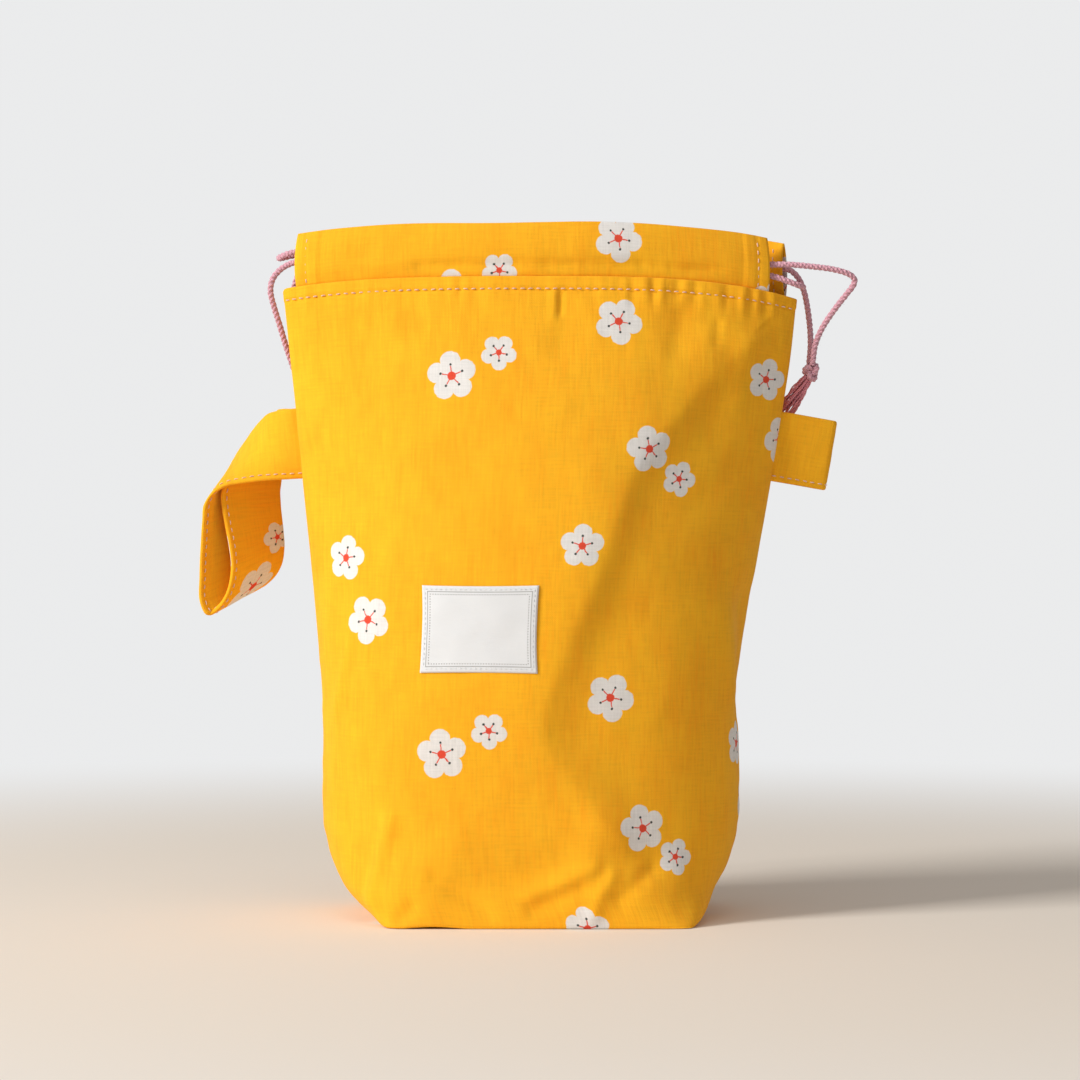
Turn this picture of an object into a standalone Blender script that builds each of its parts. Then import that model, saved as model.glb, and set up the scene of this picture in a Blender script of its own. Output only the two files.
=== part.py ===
"""Drawstring pouch sewn from printed cotton: a boxed-bottom bag with a lining, two drawstring
channels at the mouth, two knotted cords, a wrist strap, a folded side tab and a sewn-on label.

Metres, +Z up. The front faces -Y. The origin is the middle of the base, on the table.
"""

import bisect
import functools
import math

import bmesh
import bpy
from mathutils import Quaternion, Vector

# Bag body
CUT_WIDTH = 0.186  # the bag pressed flat, seam to seam, which is half its girth at every height
MOUTH_EASE = 0.006  # a little open, the rim is this much narrower than that
RIM_WIDTH = CUT_WIDTH - MOUTH_EASE
RIM_HEIGHT = 0.2204
RIM_DROP_RIGHT = 0.0070  # how far the rim sags at the right-hand seam
RIM_DROP_LEFT = 0.0033
SAG_SHARPNESS = 3.2  # how closely that sag keeps to the seams
SAG_FADE = 4  # how fast the sag dies away below the rim
BASE_WIDTH = 0.106  # between the boxed corners, along the front edge of the base
BELLY_DRAW = 0.0412  # filled out by the base, the belly is this much narrower than the cut
BELLY_WIDTH = CUT_WIDTH - BELLY_DRAW
BELLY_HEIGHT = 0.047
BELLY_ROUNDING = 3.2  # how fast the corners of the base swell out to the belly
BODY_LEAN = 0.0031  # how far the filled belly sits off to the left
LEAN_FOOT = 0.012  # the lean grows from the base up to this height
LEAN_START = 0.075  # and fades from here
LEAN_END = 0.205  # to here

# Cloth and clearances
SHELL_THICKNESS = 0.0008
LINING_THICKNESS = 0.0005
SEAM_GAP = 0.0003  # between any two sewn pieces
SEAM_ALLOWANCE = 0.009  # turned inside the side seams, so the lining stops short of them
LINING_DROP = 0.0006  # the lining's edge is rolled this far below the rim
LINING_EASE = 0.0015  # how far the lining hangs clear of the shell below the rim
LINING_EASE_REACH = 0.02  # how far below the rim it is that loose

# Drawstring channels
CHANNEL_SETBACK = 0.013  # a channel is this much shorter than the rim
CHANNEL_LENGTH = RIM_WIDTH - CHANNEL_SETBACK
CHANNEL_RISE = 0.0189  # from the rim to the folded top edge
CHANNEL_TAIL = 0.0035  # caught between shell and lining
CHANNEL_CLOTH = 0.00045
CHANNEL_SLIT = 0.0002  # between the two walls where they are sewn together
CHANNEL_BULGE = 0.0017  # how far each wall stands off the other half of the way up, round the cords
CHANNEL_FULLNESS = 0.8  # below 1, that bulge is fuller than a sine's
CHANNEL_LEAN = 0.001  # how far the channels lean in over the mouth
FRONT_CHANNEL_X = -0.0030  # middle of each channel, which the cords pull off centre
BACK_CHANNEL_X = 0.0045

# Strap, tab and label
STRAP_WIDTH = 0.0245
STRAP_THICKNESS = 0.0016  # a strip folded in four
STRAP_HEIGHT = 0.1645  # middle of the strap on the left-hand seam
TAB_HEIGHT = 0.1644  # middle of the tab on the right-hand seam
TAB_LENGTH = 0.0188
SEAT_GAP = 0.0005  # from the side seam to the ends of strap and tab
LAYER_GAP = 0.0003  # between the two layers of strap or tab at the seam
LABEL_WIDTH = 0.040
LABEL_HEIGHT = 0.0295
LABEL_X = -0.0178  # middle of the label, along the cloth from the middle of the front
LABEL_Z = 0.1000
LABEL_THICKNESS = 0.0004
LABEL_CLEARANCE = 0.0004

# Cords
CORD_DIAMETER = 0.0022
KNOT_WIDTH = 0.0066
KNOT_HEIGHT = 0.0080
KNOT_WRAPS = 2  # strands seen round the knot
KNOT_TWIST = 3.0  # how far they wind from its foot to its top, in radians per radius
KNOT_LUMPS = 0.13  # their depth, as a share of the radius
TASSEL_LENGTH = 0.0150
TASSEL_TOP_RADIUS = 0.0017
TASSEL_END_RADIUS = 0.0037
TASSEL_FLUTES = 8
TASSEL_FLUTE_DEPTH = 0.10  # as a share of the radius

# Mesh density
FRONT_COLUMNS = 12
SIDE_COLUMNS = 5
SIDE_CROWDING = 1.5  # above 1, the side columns crowd towards the seams
BODY_ROWS = 24
LINING_FRONT_COLUMNS = 8
LINING_SIDE_COLUMNS = 3
LINING_ROWS = 12
ROW_CROWDING = 1.35  # above 1, rows crowd towards the base, where the shape turns fastest
SECTION_STEPS = 240
SECTION_HALVINGS = 40  # rounds of halving to find the depth
OUTWARD_REACH = 0.01  # the cloth's direction is read between places this share of the width either side
CHANNEL_COLUMNS = 22
CHANNEL_WALL_STEPS = 6
STRAP_STEPS = 2  # mesh rows to each stretch between two places of the strap's run
TAB_FOLD_STEPS = 6
LABEL_COLUMNS = 6
LABEL_ROWS = 4
KNOT_SEGMENTS = 16
KNOT_RINGS = 10
TASSEL_ROWS = (0.0, 0.2, 0.5, 0.8, 1.0)  # shares of its length
CORD_CURVE_STEPS = 12  # points to each stretch of the smooth run, before they are spaced evenly
CORD_STEP = 2.8  # diameters between two points of a cord's tube
LEAST_STRETCH = 1e-6

# Widths between the belly and the rim, and the horizontal section's two exponents there. Both
# exponents small gives a rectangle, both 1 an ellipse, and a depth exponent over 1 a lens with its
# points at the side seams.
BASE_EXPONENTS = (0.12, 0.12)
SECTION_STATIONS = (
    # place from belly to rim, share of the widening, width exponent, depth exponent
    (0.00, 0.00, 0.80, 0.85),
    (0.16, 0.01, 0.86, 0.90),
    (0.26, 0.10, 0.92, 0.95),
    (0.43, 0.30, 1.00, 1.15),
    (0.60, 0.54, 1.00, 1.30),
    (0.78, 0.77, 1.00, 1.35),
    (0.87, 0.88, 1.00, 1.30),
    (1.00, 1.00, 1.00, 1.20),
)

# Soft creases: start and end as (distance along the cloth from the middle, height), how wide the
# crease is, and how far it stands out, or in where negative.
FRONT_CREASES = (
    ((-0.020, 0.012), (0.013, 0.021), 0.0075, -0.0011),
    ((0.014, 0.012), (0.024, 0.034), 0.0080, 0.0010),
    ((0.026, 0.018), (0.040, 0.020), 0.0070, -0.0010),
    ((0.038, 0.024), (0.050, 0.006), 0.0070, -0.0010),
    ((-0.051, 0.008), (-0.026, 0.028), 0.0085, 0.0010),
    ((-0.058, 0.018), (-0.066, 0.046), 0.0090, -0.0010),
    ((0.070, 0.104), (0.078, 0.080), 0.0070, 0.0012),
    ((0.084, 0.108), (0.088, 0.076), 0.0080, -0.0022),
    ((0.008, 0.208), (0.008, 0.196), 0.0065, -0.0008),
    ((0.052, 0.204), (0.046, 0.182), 0.0100, -0.0012),
)
BACK_CREASES = (
    ((-0.045, 0.012), (-0.012, 0.024), 0.0085, -0.0012),
    ((0.008, 0.014), (0.026, 0.036), 0.0085, 0.0010),
    ((0.048, 0.008), (0.030, 0.030), 0.0080, -0.0010),
    ((-0.066, 0.090), (-0.050, 0.120), 0.0110, -0.0014),
    ((0.060, 0.130), (0.040, 0.160), 0.0120, 0.0012),
    ((0.010, 0.204), (0.004, 0.180), 0.0095, -0.0012),
    ((-0.050, 0.204), (-0.044, 0.176), 0.0100, -0.0012),
)

# The strap's run, laid by hand: where its stitched lower edge is, from that edge's place in the side
# seam, and which way its width points there. It leaves the seam, rolls over, hangs and comes back.
STRAP_RUN = (
    ((-0.0080, -0.0015, -0.0005), (-0.10, 0.22, 0.97)),
    ((-0.0143, -0.0020, -0.0009), (-0.02, 0.50, 0.87)),
    ((-0.0202, -0.0025, -0.0016), (0.02, 0.76, 0.65)),
    ((-0.0255, -0.0025, -0.0024), (0.06, 0.90, 0.43)),
    ((-0.0300, -0.0025, -0.0049), (0.17, 0.92, 0.34)),
    ((-0.0330, -0.0025, -0.0091), (0.46, 0.86, 0.22)),
    ((-0.0338, -0.0020, -0.0150), (0.56, 0.80, 0.22)),
    ((-0.0344, -0.0015, -0.0237), (0.63, 0.74, 0.24)),
    ((-0.0349, -0.0010, -0.0342), (0.68, 0.67, 0.30)),
    ((-0.0349, -0.0005, -0.0429), (0.72, 0.58, 0.38)),
    ((-0.0326, 0.0000, -0.0474), (0.74, 0.52, 0.43)),
    ((-0.0290, 0.0005, -0.0450), (0.74, 0.52, 0.42)),
    ((-0.0255, 0.0005, -0.0394), (0.72, 0.58, 0.38)),
    ((-0.0241, 0.0005, -0.0310), (0.70, 0.65, 0.30)),
    ((-0.0248, 0.0008, -0.0237), (0.71, 0.67, 0.20)),
    ((-0.0262, 0.0010, -0.0167), (0.75, 0.65, 0.12)),
    ((-0.0274, 0.0012, -0.0098), (0.78, 0.62, 0.06)),
    ((-0.0276, 0.0015, -0.0045), (0.79, 0.61, 0.08)),
    ((-0.0258, 0.0025, -0.0010), (0.74, 0.60, 0.30)),
    ((-0.0209, 0.0028, 0.0009), (0.52, 0.60, 0.60)),
    ((-0.0143, 0.0022, 0.0010), (0.22, 0.42, 0.88)),
    ((-0.0073, 0.0015, 0.0005), (-0.02, 0.20, 0.98)),
)

# Each cord runs from its knot through the front channel, round the far end, back through the back
# channel and down to the knot again. The places are laid by hand, as shares of the rim's half width
# and half depth, and metres above the rim.
RIGHT_CORD_ROUTE = (
    (1.0600, 0.1006, -0.0272),
    (1.0689, 0.0629, -0.0219),
    (1.0944, 0.0126, -0.0164),
    (1.1444, -0.0629, -0.0096),
    (1.1911, -0.1383, -0.0041),
    (1.2156, -0.2011, -0.0008),
    (1.2000, -0.2640, 0.0016),
    (1.1400, -0.3017, 0.0034),
    (1.0522, -0.3143, 0.0045),
    (0.9667, -0.3080, 0.0052),
    (0.8778, -0.2766, 0.0054),
    (0.7589, -0.4525, 0.0068),
    (0.5378, -0.6725, 0.0088),
    (0.3122, -0.7982, 0.0100),
    (0.0856, -0.8548, 0.0106),
    (-0.1411, -0.8485, 0.0110),
    (-0.3667, -0.7731, 0.0111),
    (-0.5911, -0.6285, 0.0110),
    (-0.8122, -0.3771, 0.0106),
    (-0.9167, -0.1823, 0.0102),
    (-0.9833, -0.0251, 0.0089),
    (-1.0056, 0.1257, 0.0078),
    (-0.9867, 0.2640, 0.0084),
    (-0.9389, 0.3143, 0.0096),
    (-0.8567, 0.3080, 0.0105),
    (-0.7478, 0.4651, 0.0108),
    (-0.5256, 0.6788, 0.0111),
    (-0.3011, 0.8045, 0.0111),
    (-0.0744, 0.8548, 0.0109),
    (0.1522, 0.8485, 0.0104),
    (0.3778, 0.7731, 0.0097),
    (0.6022, 0.6223, 0.0083),
    (0.8222, 0.3646, 0.0060),
    (0.9256, 0.1571, 0.0046),
    (0.9689, 0.0880, 0.0039),
    (1.0067, 0.1886, 0.0008),
    (1.0289, 0.3143, -0.0036),
    (1.0422, 0.3708, -0.0089),
    (1.0511, 0.3520, -0.0154),
    (1.0533, 0.2954, -0.0216),
    (1.0489, 0.2703, -0.0272),
)
LEFT_CORD_ROUTE = (
    (-0.9133, 0.6788, -0.0440),
    (-0.9311, 0.6537, -0.0384),
    (-0.9622, 0.5783, -0.0304),
    (-0.9911, 0.4525, -0.0224),
    (-1.0144, 0.3143, -0.0149),
    (-1.0344, 0.1760, -0.0086),
    (-1.0456, 0.0629, -0.0036),
    (-1.0378, 0.0000, 0.0002),
    (-1.0111, -0.0377, 0.0034),
    (-0.9678, -0.0880, 0.0058),
    (-0.9167, -0.1886, 0.0066),
    (-0.8122, -0.3897, 0.0070),
    (-0.5922, -0.6411, 0.0074),
    (-0.3667, -0.7857, 0.0075),
    (-0.1411, -0.8611, 0.0074),
    (0.0856, -0.8674, 0.0070),
    (0.3122, -0.8108, 0.0064),
    (0.5378, -0.6851, 0.0052),
    (0.7589, -0.4651, 0.0032),
    (0.8667, -0.2954, 0.0018),
    (0.9222, -0.2891, 0.0006),
    (0.9689, -0.2514, -0.0013),
    (1.0022, -0.1257, -0.0024),
    (1.0089, 0.0126, -0.0019),
    (0.9867, 0.0754, -0.0006),
    (0.9267, 0.1634, 0.0010),
    (0.8233, 0.3708, 0.0024),
    (0.6033, 0.6285, 0.0047),
    (0.3778, 0.7794, 0.0061),
    (0.1522, 0.8548, 0.0068),
    (-0.0744, 0.8674, 0.0073),
    (-0.3011, 0.8171, 0.0075),
    (-0.5267, 0.6914, 0.0075),
    (-0.7489, 0.4777, 0.0072),
    (-0.8567, 0.3143, 0.0069),
    (-0.9111, 0.4023, 0.0058),
    (-0.9467, 0.5028, 0.0022),
    (-0.9644, 0.5908, -0.0032),
    (-0.9689, 0.6788, -0.0100),
    (-0.9622, 0.7542, -0.0184),
    (-0.9444, 0.8171, -0.0274),
    (-0.9222, 0.8485, -0.0354),
    (-0.9022, 0.8360, -0.0440),
)
RIGHT_KNOT = (1.0544, 0.1886, -0.0315)
LEFT_KNOT = (-0.9078, 0.7542, -0.0483)
RIGHT_TASSEL_WAY = (-0.52, 0.26, -0.81)
LEFT_TASSEL_WAY = (0.06, 0.05, -1.0)

COLOURS = {
    "printed_cotton": (0.95, 0.43, 0.02, 1.0),
    "lining_cotton": (0.86, 0.80, 0.68, 1.0),
    "pink_cord": (0.74, 0.36, 0.42, 1.0),
    "woven_label": (0.88, 0.88, 0.86, 1.0),
}
ROUGHNESS = 0.85
SMOOTH_BELOW = math.radians(40)


def clear_scene():
    for obj in list(bpy.data.objects):
        bpy.data.objects.remove(obj, do_unlink=True)


def material(name):
    made = bpy.data.materials.get(name)
    if made is None:
        made = bpy.data.materials.new(name)
        made.use_nodes = True
        shader = made.node_tree.nodes["Principled BSDF"]
        shader.inputs["Base Color"].default_value = COLOURS[name]
        shader.inputs["Roughness"].default_value = ROUGHNESS
        shader.inputs["Metallic"].default_value = 0.0
    return made


def smooth_step(t):
    t = min(max(t, 0.0), 1.0)
    return t * t * (3 - 2 * t)


def read_stations(stations, place):
    """The values at this place, on a smooth curve through stations of (place, value, value...)."""
    places = [station[0] for station in stations]
    place = min(max(place, places[0]), places[-1])
    i = min(max(bisect.bisect_right(places, place) - 1, 0), len(stations) - 2)
    here, there = stations[i], stations[i + 1]
    before = stations[max(i - 1, 0)]
    after = stations[min(i + 2, len(stations) - 1)]
    span = there[0] - here[0]
    t = (place - here[0]) / span
    values = []
    for k in range(1, len(here)):
        slope_here = (there[k] - before[k]) / (there[0] - before[0]) * span
        slope_there = (after[k] - here[k]) / (after[0] - here[0]) * span
        rise = there[k] - here[k]
        cubic = slope_here + slope_there - 2 * rise
        values.append(here[k] + t * (slope_here + t * (3 * rise - 2 * slope_here - slope_there + t * cubic)))
    return values


def section_shape(height):
    """Half the width and the two exponents of the bag's horizontal section at this height."""
    if height < BELLY_HEIGHT:
        swell = 1 - (1 - height / BELLY_HEIGHT) ** BELLY_ROUNDING
        half_width = (BASE_WIDTH + (BELLY_WIDTH - BASE_WIDTH) * swell) / 2
        belly = SECTION_STATIONS[0][2:]
        exponents = [a + (b - a) * swell for a, b in zip(BASE_EXPONENTS, belly)]
        return half_width, exponents
    place = (height - BELLY_HEIGHT) / (RIM_HEIGHT - BELLY_HEIGHT)
    widening, *exponents = read_stations(SECTION_STATIONS, place)
    return (BELLY_WIDTH + (RIM_WIDTH - BELLY_WIDTH) * widening) / 2, exponents


def front_run(half_width, half_depth, exponents):
    """Points of the section's front half from the left seam to the right one, and the way to each."""
    points = []
    for i in range(SECTION_STEPS + 1):
        turn = math.pi * i / SECTION_STEPS
        across, out = math.cos(turn), abs(math.sin(turn))
        x = -math.copysign(abs(across) ** exponents[0], across) * half_width
        points.append((x, -half_depth * out ** exponents[1]))
    way = [0.0]
    for a, b in zip(points, points[1:]):
        way.append(way[-1] + math.dist(a, b))
    return points, way


@functools.lru_cache(maxsize=None)
def section(height):
    """The front half of the section whose length along the cloth is the cut width."""
    half_width, exponents = section_shape(height)
    least, most = 0.0, CUT_WIDTH
    for _ in range(SECTION_HALVINGS):
        half_depth = (least + most) / 2
        if front_run(half_width, half_depth, exponents)[1][-1] < CUT_WIDTH:
            least = half_depth
        else:
            most = half_depth
    return front_run(half_width, half_depth, exponents)


def on_section(height, share):
    """The front point this share of the way from the left seam to the right one."""
    points, way = section(height)
    share = min(max(share, 0.0), 1.0)
    i = min(max(bisect.bisect_right(way, share * way[-1]) - 1, 0), len(points) - 2)
    t = (share * way[-1] - way[i]) / (way[i + 1] - way[i])
    a, b = points[i], points[i + 1]
    return Vector((a[0] + (b[0] - a[0]) * t, a[1] + (b[1] - a[1]) * t, 0.0))


def outward(height, share):
    """The horizontal direction out of the cloth there. On a side seam it is straight sideways."""
    if share <= 0.0 or share >= 1.0:
        return Vector((-1.0 if share <= 0.0 else 1.0, 0.0, 0.0))
    along = on_section(height, share + OUTWARD_REACH) - on_section(height, share - OUTWARD_REACH)
    return Vector((along.y, -along.x, 0.0)).normalized()


def crease_depth(creases, along, height):
    """How far the creases push the cloth out at this place."""
    total = 0.0
    for start, end, width, depth in creases:
        run = Vector((end[0] - start[0], end[1] - start[1]))
        way = Vector((along - start[0], height - start[1]))
        t = min(max(way.dot(run) / run.length_squared, 0.0), 1.0)
        total += depth * math.exp(-(((way - run * t).length / width) ** 2))
    return total


def body_lean(height):
    grown = smooth_step(height / LEAN_FOOT)
    faded = smooth_step((height - LEAN_START) / (LEAN_END - LEAN_START))
    return -BODY_LEAN * grown * (1 - faded)


def rim_sag(x):
    drop = RIM_DROP_RIGHT if x > 0 else RIM_DROP_LEFT
    return drop * min(abs(x) / (RIM_WIDTH / 2), 1.0) ** SAG_SHARPNESS


def cloth_point(height, along, back=False, inward=0.0, creased=True):
    """A place on the bag, by its height and its distance along the cloth from the middle.

    The height is taken before the rim's sag. Inward moves it into the bag, level with the table.
    """
    share = along / CUT_WIDTH + 0.5
    creases = BACK_CREASES if back else FRONT_CREASES
    push = crease_depth(creases, along, height) if creased and height > 0 else 0.0
    point = on_section(height, share) + outward(height, share) * (push - inward)
    if back:
        point.y = -point.y
    point.z = height - rim_sag(point.x) * (height / RIM_HEIGHT) ** SAG_FADE
    point.x += body_lean(height)
    return point


def sheet_mesh(name, rows, wrap=False):
    """An open sheet through rows of points. A wrapped row joins its last point to its first."""
    bm = bmesh.new()
    verts = [[bm.verts.new(point) for point in row] for row in rows]
    for lower, upper in zip(verts, verts[1:]):
        for i in range(len(lower) if wrap else len(lower) - 1):
            j = (i + 1) % len(lower)
            bm.faces.new((lower[i], lower[j], upper[j], upper[i]))
    return bm, verts


def add_object(name, bm, colour, collection):
    mesh = bpy.data.meshes.new(name)
    bm.to_mesh(mesh)
    bm.free()
    mesh.shade_smooth()
    mesh.set_sharp_from_angle(angle=SMOOTH_BELOW)
    mesh.materials.append(material(colour))
    obj = bpy.data.objects.new(name, mesh)
    collection.objects.link(obj)
    return obj


def thicken(obj, thickness, offset):
    """Gives an open sheet its cloth: offset -1 grows it inwards only, and 0 both ways."""
    solidify = obj.modifiers.new("cloth", "SOLIDIFY")
    solidify.thickness = thickness
    solidify.offset = offset
    solidify.use_even_offset = True
    solidify.use_rim = True


def columns(front_count, side_count, half):
    """Distances along the cloth, closer together round the base's corners than across the front."""
    corner = BASE_WIDTH / 2
    front = [2 * corner * (i / front_count - 0.5) for i in range(front_count + 1)]
    side = []
    for i in range(1, side_count + 1):
        share = 1 - (1 - i / side_count) ** SIDE_CROWDING
        side.append(corner + (half - corner) * share)
    return [-place for place in side[::-1]] + front + side


def row_heights(count, foot, top):
    return [foot + (top - foot) * (i / count) ** ROW_CROWDING for i in range(count + 1)]


def add_base(bm, ring, front_count, side_count, shared_seams):
    """Closes the foot of a bag with a grid between the four edges of its base."""
    left_corner, right_corner = side_count, side_count + front_count
    back_right = right_corner + 2 * side_count + (0 if shared_seams else 1)
    back_left = back_right + front_count
    front = ring[left_corner : right_corner + 1]
    right = ring[right_corner : back_right + 1]
    back = ring[back_right : back_left + 1][::-1]
    left = (ring[back_left:] + ring[: left_corner + 1])[::-1]
    across, deep = len(front) - 1, len(right) - 1
    grid = [[None] * (deep + 1) for _ in range(across + 1)]
    for i in range(across + 1):
        for j in range(deep + 1):
            u, v = i / across, j / deep
            if j in (0, deep):
                grid[i][j] = (front if j == 0 else back)[i]
            elif i in (0, across):
                grid[i][j] = (left if i == 0 else right)[j]
            else:
                sides = front[i].co * (1 - v) + back[i].co * v + left[j].co * (1 - u) + right[j].co * u
                corners = (front[0].co * (1 - u) + front[-1].co * u) * (1 - v)
                corners += (back[0].co * (1 - u) + back[-1].co * u) * v
                grid[i][j] = bm.verts.new(sides - corners)
    for i in range(across):
        for j in range(deep):
            bm.faces.new((grid[i][j], grid[i][j + 1], grid[i + 1][j + 1], grid[i + 1][j]))


def add_shell(collection):
    """The outer bag: one length of cloth folded under the base and sewn up both sides."""
    half = CUT_WIDTH / 2
    along = columns(FRONT_COLUMNS, SIDE_COLUMNS, half)
    rows = []
    for height in row_heights(BODY_ROWS, 0.0, RIM_HEIGHT):
        front = [cloth_point(height, place) for place in along]
        back = [cloth_point(height, place, back=True) for place in along[-2:0:-1]]
        rows.append(front + back)
    bm, verts = sheet_mesh("outer_bag", rows, wrap=True)
    add_base(bm, verts[0], FRONT_COLUMNS, SIDE_COLUMNS, shared_seams=True)
    thicken(add_object("outer_bag", bm, "printed_cotton", collection), SHELL_THICKNESS, -1)


def tail_thickness():
    return 2 * CHANNEL_CLOTH + CHANNEL_SLIT


def lining_inset(height):
    """From the bag's outer face to the lining's, which the channel's tail parts at the rim."""
    ease = LINING_EASE * smooth_step((RIM_HEIGHT - CHANNEL_TAIL - height) / LINING_EASE_REACH)
    return SHELL_THICKNESS + SEAM_GAP + tail_thickness() + SEAM_GAP + ease


def add_lining(collection):
    reach = CUT_WIDTH / 2 - SEAM_ALLOWANCE
    along = columns(LINING_FRONT_COLUMNS, LINING_SIDE_COLUMNS, reach)
    rows = []
    foot = SHELL_THICKNESS + SEAM_GAP
    for height in row_heights(LINING_ROWS, foot, RIM_HEIGHT - LINING_DROP):
        inset = lining_inset(height)
        front = [cloth_point(height, place, inward=inset, creased=False) for place in along]
        back = [cloth_point(height, place, True, inset, creased=False) for place in along[::-1]]
        rows.append(front + back)
    for point in rows[0]:
        point.z = foot
    bm, verts = sheet_mesh("lining", rows, wrap=True)
    add_base(bm, verts[0], LINING_FRONT_COLUMNS, LINING_SIDE_COLUMNS, shared_seams=False)
    thicken(add_object("lining", bm, "lining_cotton", collection), LINING_THICKNESS, -1)


def channel_profile():
    """(across, rise) from the outer wall's lower edge, over the folded top, to the inner wall's."""
    slit = (CHANNEL_CLOTH + CHANNEL_SLIT) / 2
    wall = [(slit, -CHANNEL_TAIL)]
    for i in range(CHANNEL_WALL_STEPS + 1):
        climb = i / CHANNEL_WALL_STEPS
        bulge = CHANNEL_BULGE * max(math.sin(math.pi * climb), 0.0) ** CHANNEL_FULLNESS
        wall.append((slit + bulge, climb * (CHANNEL_RISE - slit)))
    outer = [(-across, rise) for across, rise in wall]
    return outer + [(0.0, CHANNEL_RISE)] + wall[::-1]


def channel_point(along, back, across, rise):
    """A place on a channel: along the rim, across its thickness towards the mouth, and up from the rim."""
    inset = SHELL_THICKNESS + SEAM_GAP + tail_thickness() / 2
    lean = CHANNEL_LEAN * max(rise, 0.0) / CHANNEL_RISE
    share = along / CUT_WIDTH + 0.5
    height = RIM_HEIGHT + min(rise, 0.0)
    push = crease_depth(BACK_CREASES if back else FRONT_CREASES, along, height)
    point = on_section(height, share) + outward(height, share) * (push - inset - across - lean)
    point.z = RIM_HEIGHT - rim_sag(point.x) + rise
    if back:
        point.y = -point.y
    return point


def add_channel(name, middle, back, collection):
    """A strip folded in half along its top, open at both ends, its lower edges caught at the rim."""
    rows = []
    for i in range(CHANNEL_COLUMNS + 1):
        along = middle + CHANNEL_LENGTH * (i / CHANNEL_COLUMNS - 0.5)
        rows.append([channel_point(along, back, across, rise) for across, rise in channel_profile()])
    bm, _ = sheet_mesh(name, rows)
    thicken(add_object(name, bm, "printed_cotton", collection), CHANNEL_CLOTH, 0)


def smooth_points(points, per_stretch):
    """Points of a smooth curve through these, this many to each stretch between two of them."""
    points = [Vector(point) for point in points]
    ends = [2 * points[0] - points[1]] + points + [2 * points[-1] - points[-2]]
    made = []
    for i in range(len(points) - 1):
        p0, p1, p2, p3 = ends[i : i + 4]
        # Where two points are one, the curve still needs a stretch between them.
        t1 = math.sqrt(max((p1 - p0).length, LEAST_STRETCH))
        t2 = t1 + math.sqrt(max((p2 - p1).length, LEAST_STRETCH))
        t3 = t2 + math.sqrt(max((p3 - p2).length, LEAST_STRETCH))
        for k in range(per_stretch):
            t = t1 + (t2 - t1) * k / per_stretch
            a1 = p0 * (t1 - t) / t1 + p1 * t / t1
            a2 = p1 * (t2 - t) / (t2 - t1) + p2 * (t - t1) / (t2 - t1)
            a3 = p2 * (t3 - t) / (t3 - t2) + p3 * (t - t2) / (t3 - t2)
            b1 = a1 * (t2 - t) / t2 + a2 * t / t2
            b2 = a2 * (t3 - t) / (t3 - t1) + a3 * (t - t1) / (t3 - t1)
            made.append(b1 * (t2 - t) / (t2 - t1) + b2 * (t - t1) / (t2 - t1))
    return made + [points[-1]]


def spaced_evenly(points, step):
    """Points this far apart along the run of these, with both ends kept."""
    way = [0.0]
    for a, b in zip(points, points[1:]):
        way.append(way[-1] + (b - a).length)
    count = max(round(way[-1] / step), 1)
    made = []
    for i in range(count + 1):
        place = way[-1] * i / count
        k = min(max(bisect.bisect_right(way, place) - 1, 0), len(points) - 2)
        made.append(points[k].lerp(points[k + 1], (place - way[k]) / (way[k + 1] - way[k])))
    return made


def rim_place(place):
    """A place given by its shares of the rim's half width and half depth and its rise from the rim."""
    across, out, rise = place
    points, _ = section(RIM_HEIGHT)
    half_depth = max(-y for _, y in points)
    return Vector((across * RIM_WIDTH / 2, out * half_depth, RIM_HEIGHT + rise))


def seam_frame(height, right):
    """Where a strap sewn in at this height has its lower edge, the way up that side seam, and the way out."""
    half = CUT_WIDTH / 2 if right else -CUT_WIDTH / 2
    reach = STRAP_WIDTH / 2
    low, high = cloth_point(height - reach, half), cloth_point(height + reach, half)
    up = (high - low).normalized()
    out = up.cross(Vector((0.0, 1.0, 0.0))) * (-1 if right else 1)
    middle = (low + high) / 2
    bow = max((cloth_point(height + reach * k / 4, half) - middle).dot(out) for k in range(-4, 5))
    return middle + out * (bow + SEAT_GAP) - up * reach, up, out


def ribbon(name, places, collection):
    """A flat strap through places of (lower edge, width direction)."""
    rows = []
    for edge, width_way in places:
        across = width_way.normalized() * STRAP_WIDTH
        rows.append([edge, edge + across / 2, edge + across])
    bm, _ = sheet_mesh(name, rows)
    thicken(add_object(name, bm, "printed_cotton", collection), STRAP_THICKNESS, 0)


def add_strap(collection):
    """The wrist loop: both its ends are caught in the left-hand seam, one on the other."""
    root, up, _ = seam_frame(STRAP_HEIGHT, right=False)
    layer = Vector((0.0, (STRAP_THICKNESS + LAYER_GAP) / 2, 0.0))
    places = [(root - layer, up)]
    places += [(root + Vector(edge), Vector(way)) for edge, way in STRAP_RUN]
    places.append((root + layer, up))
    edges = smooth_points([edge for edge, _ in places], STRAP_STEPS)
    ways = smooth_points([way for _, way in places], STRAP_STEPS)
    ribbon("wrist_strap", list(zip(edges, ways)), collection)


def add_tab(collection):
    """A short piece of the same strap folded in half, its two ends caught in the right-hand seam."""
    root, up, out = seam_frame(TAB_HEIGHT, right=True)
    radius = (STRAP_THICKNESS + LAYER_GAP) / 2
    back = Vector((0.0, 1.0, 0.0))
    straight = TAB_LENGTH - radius - STRAP_THICKNESS / 2
    edges = [root - back * radius, root - back * radius + out * straight / 2]
    for i in range(TAB_FOLD_STEPS + 1):
        turn = math.pi * i / TAB_FOLD_STEPS
        edges.append(root + out * (straight + radius * math.sin(turn)) - back * radius * math.cos(turn))
    edges += [root + back * radius + out * straight / 2, root + back * radius]
    ribbon("side_tab", [(edge, up) for edge in edges], collection)


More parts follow.
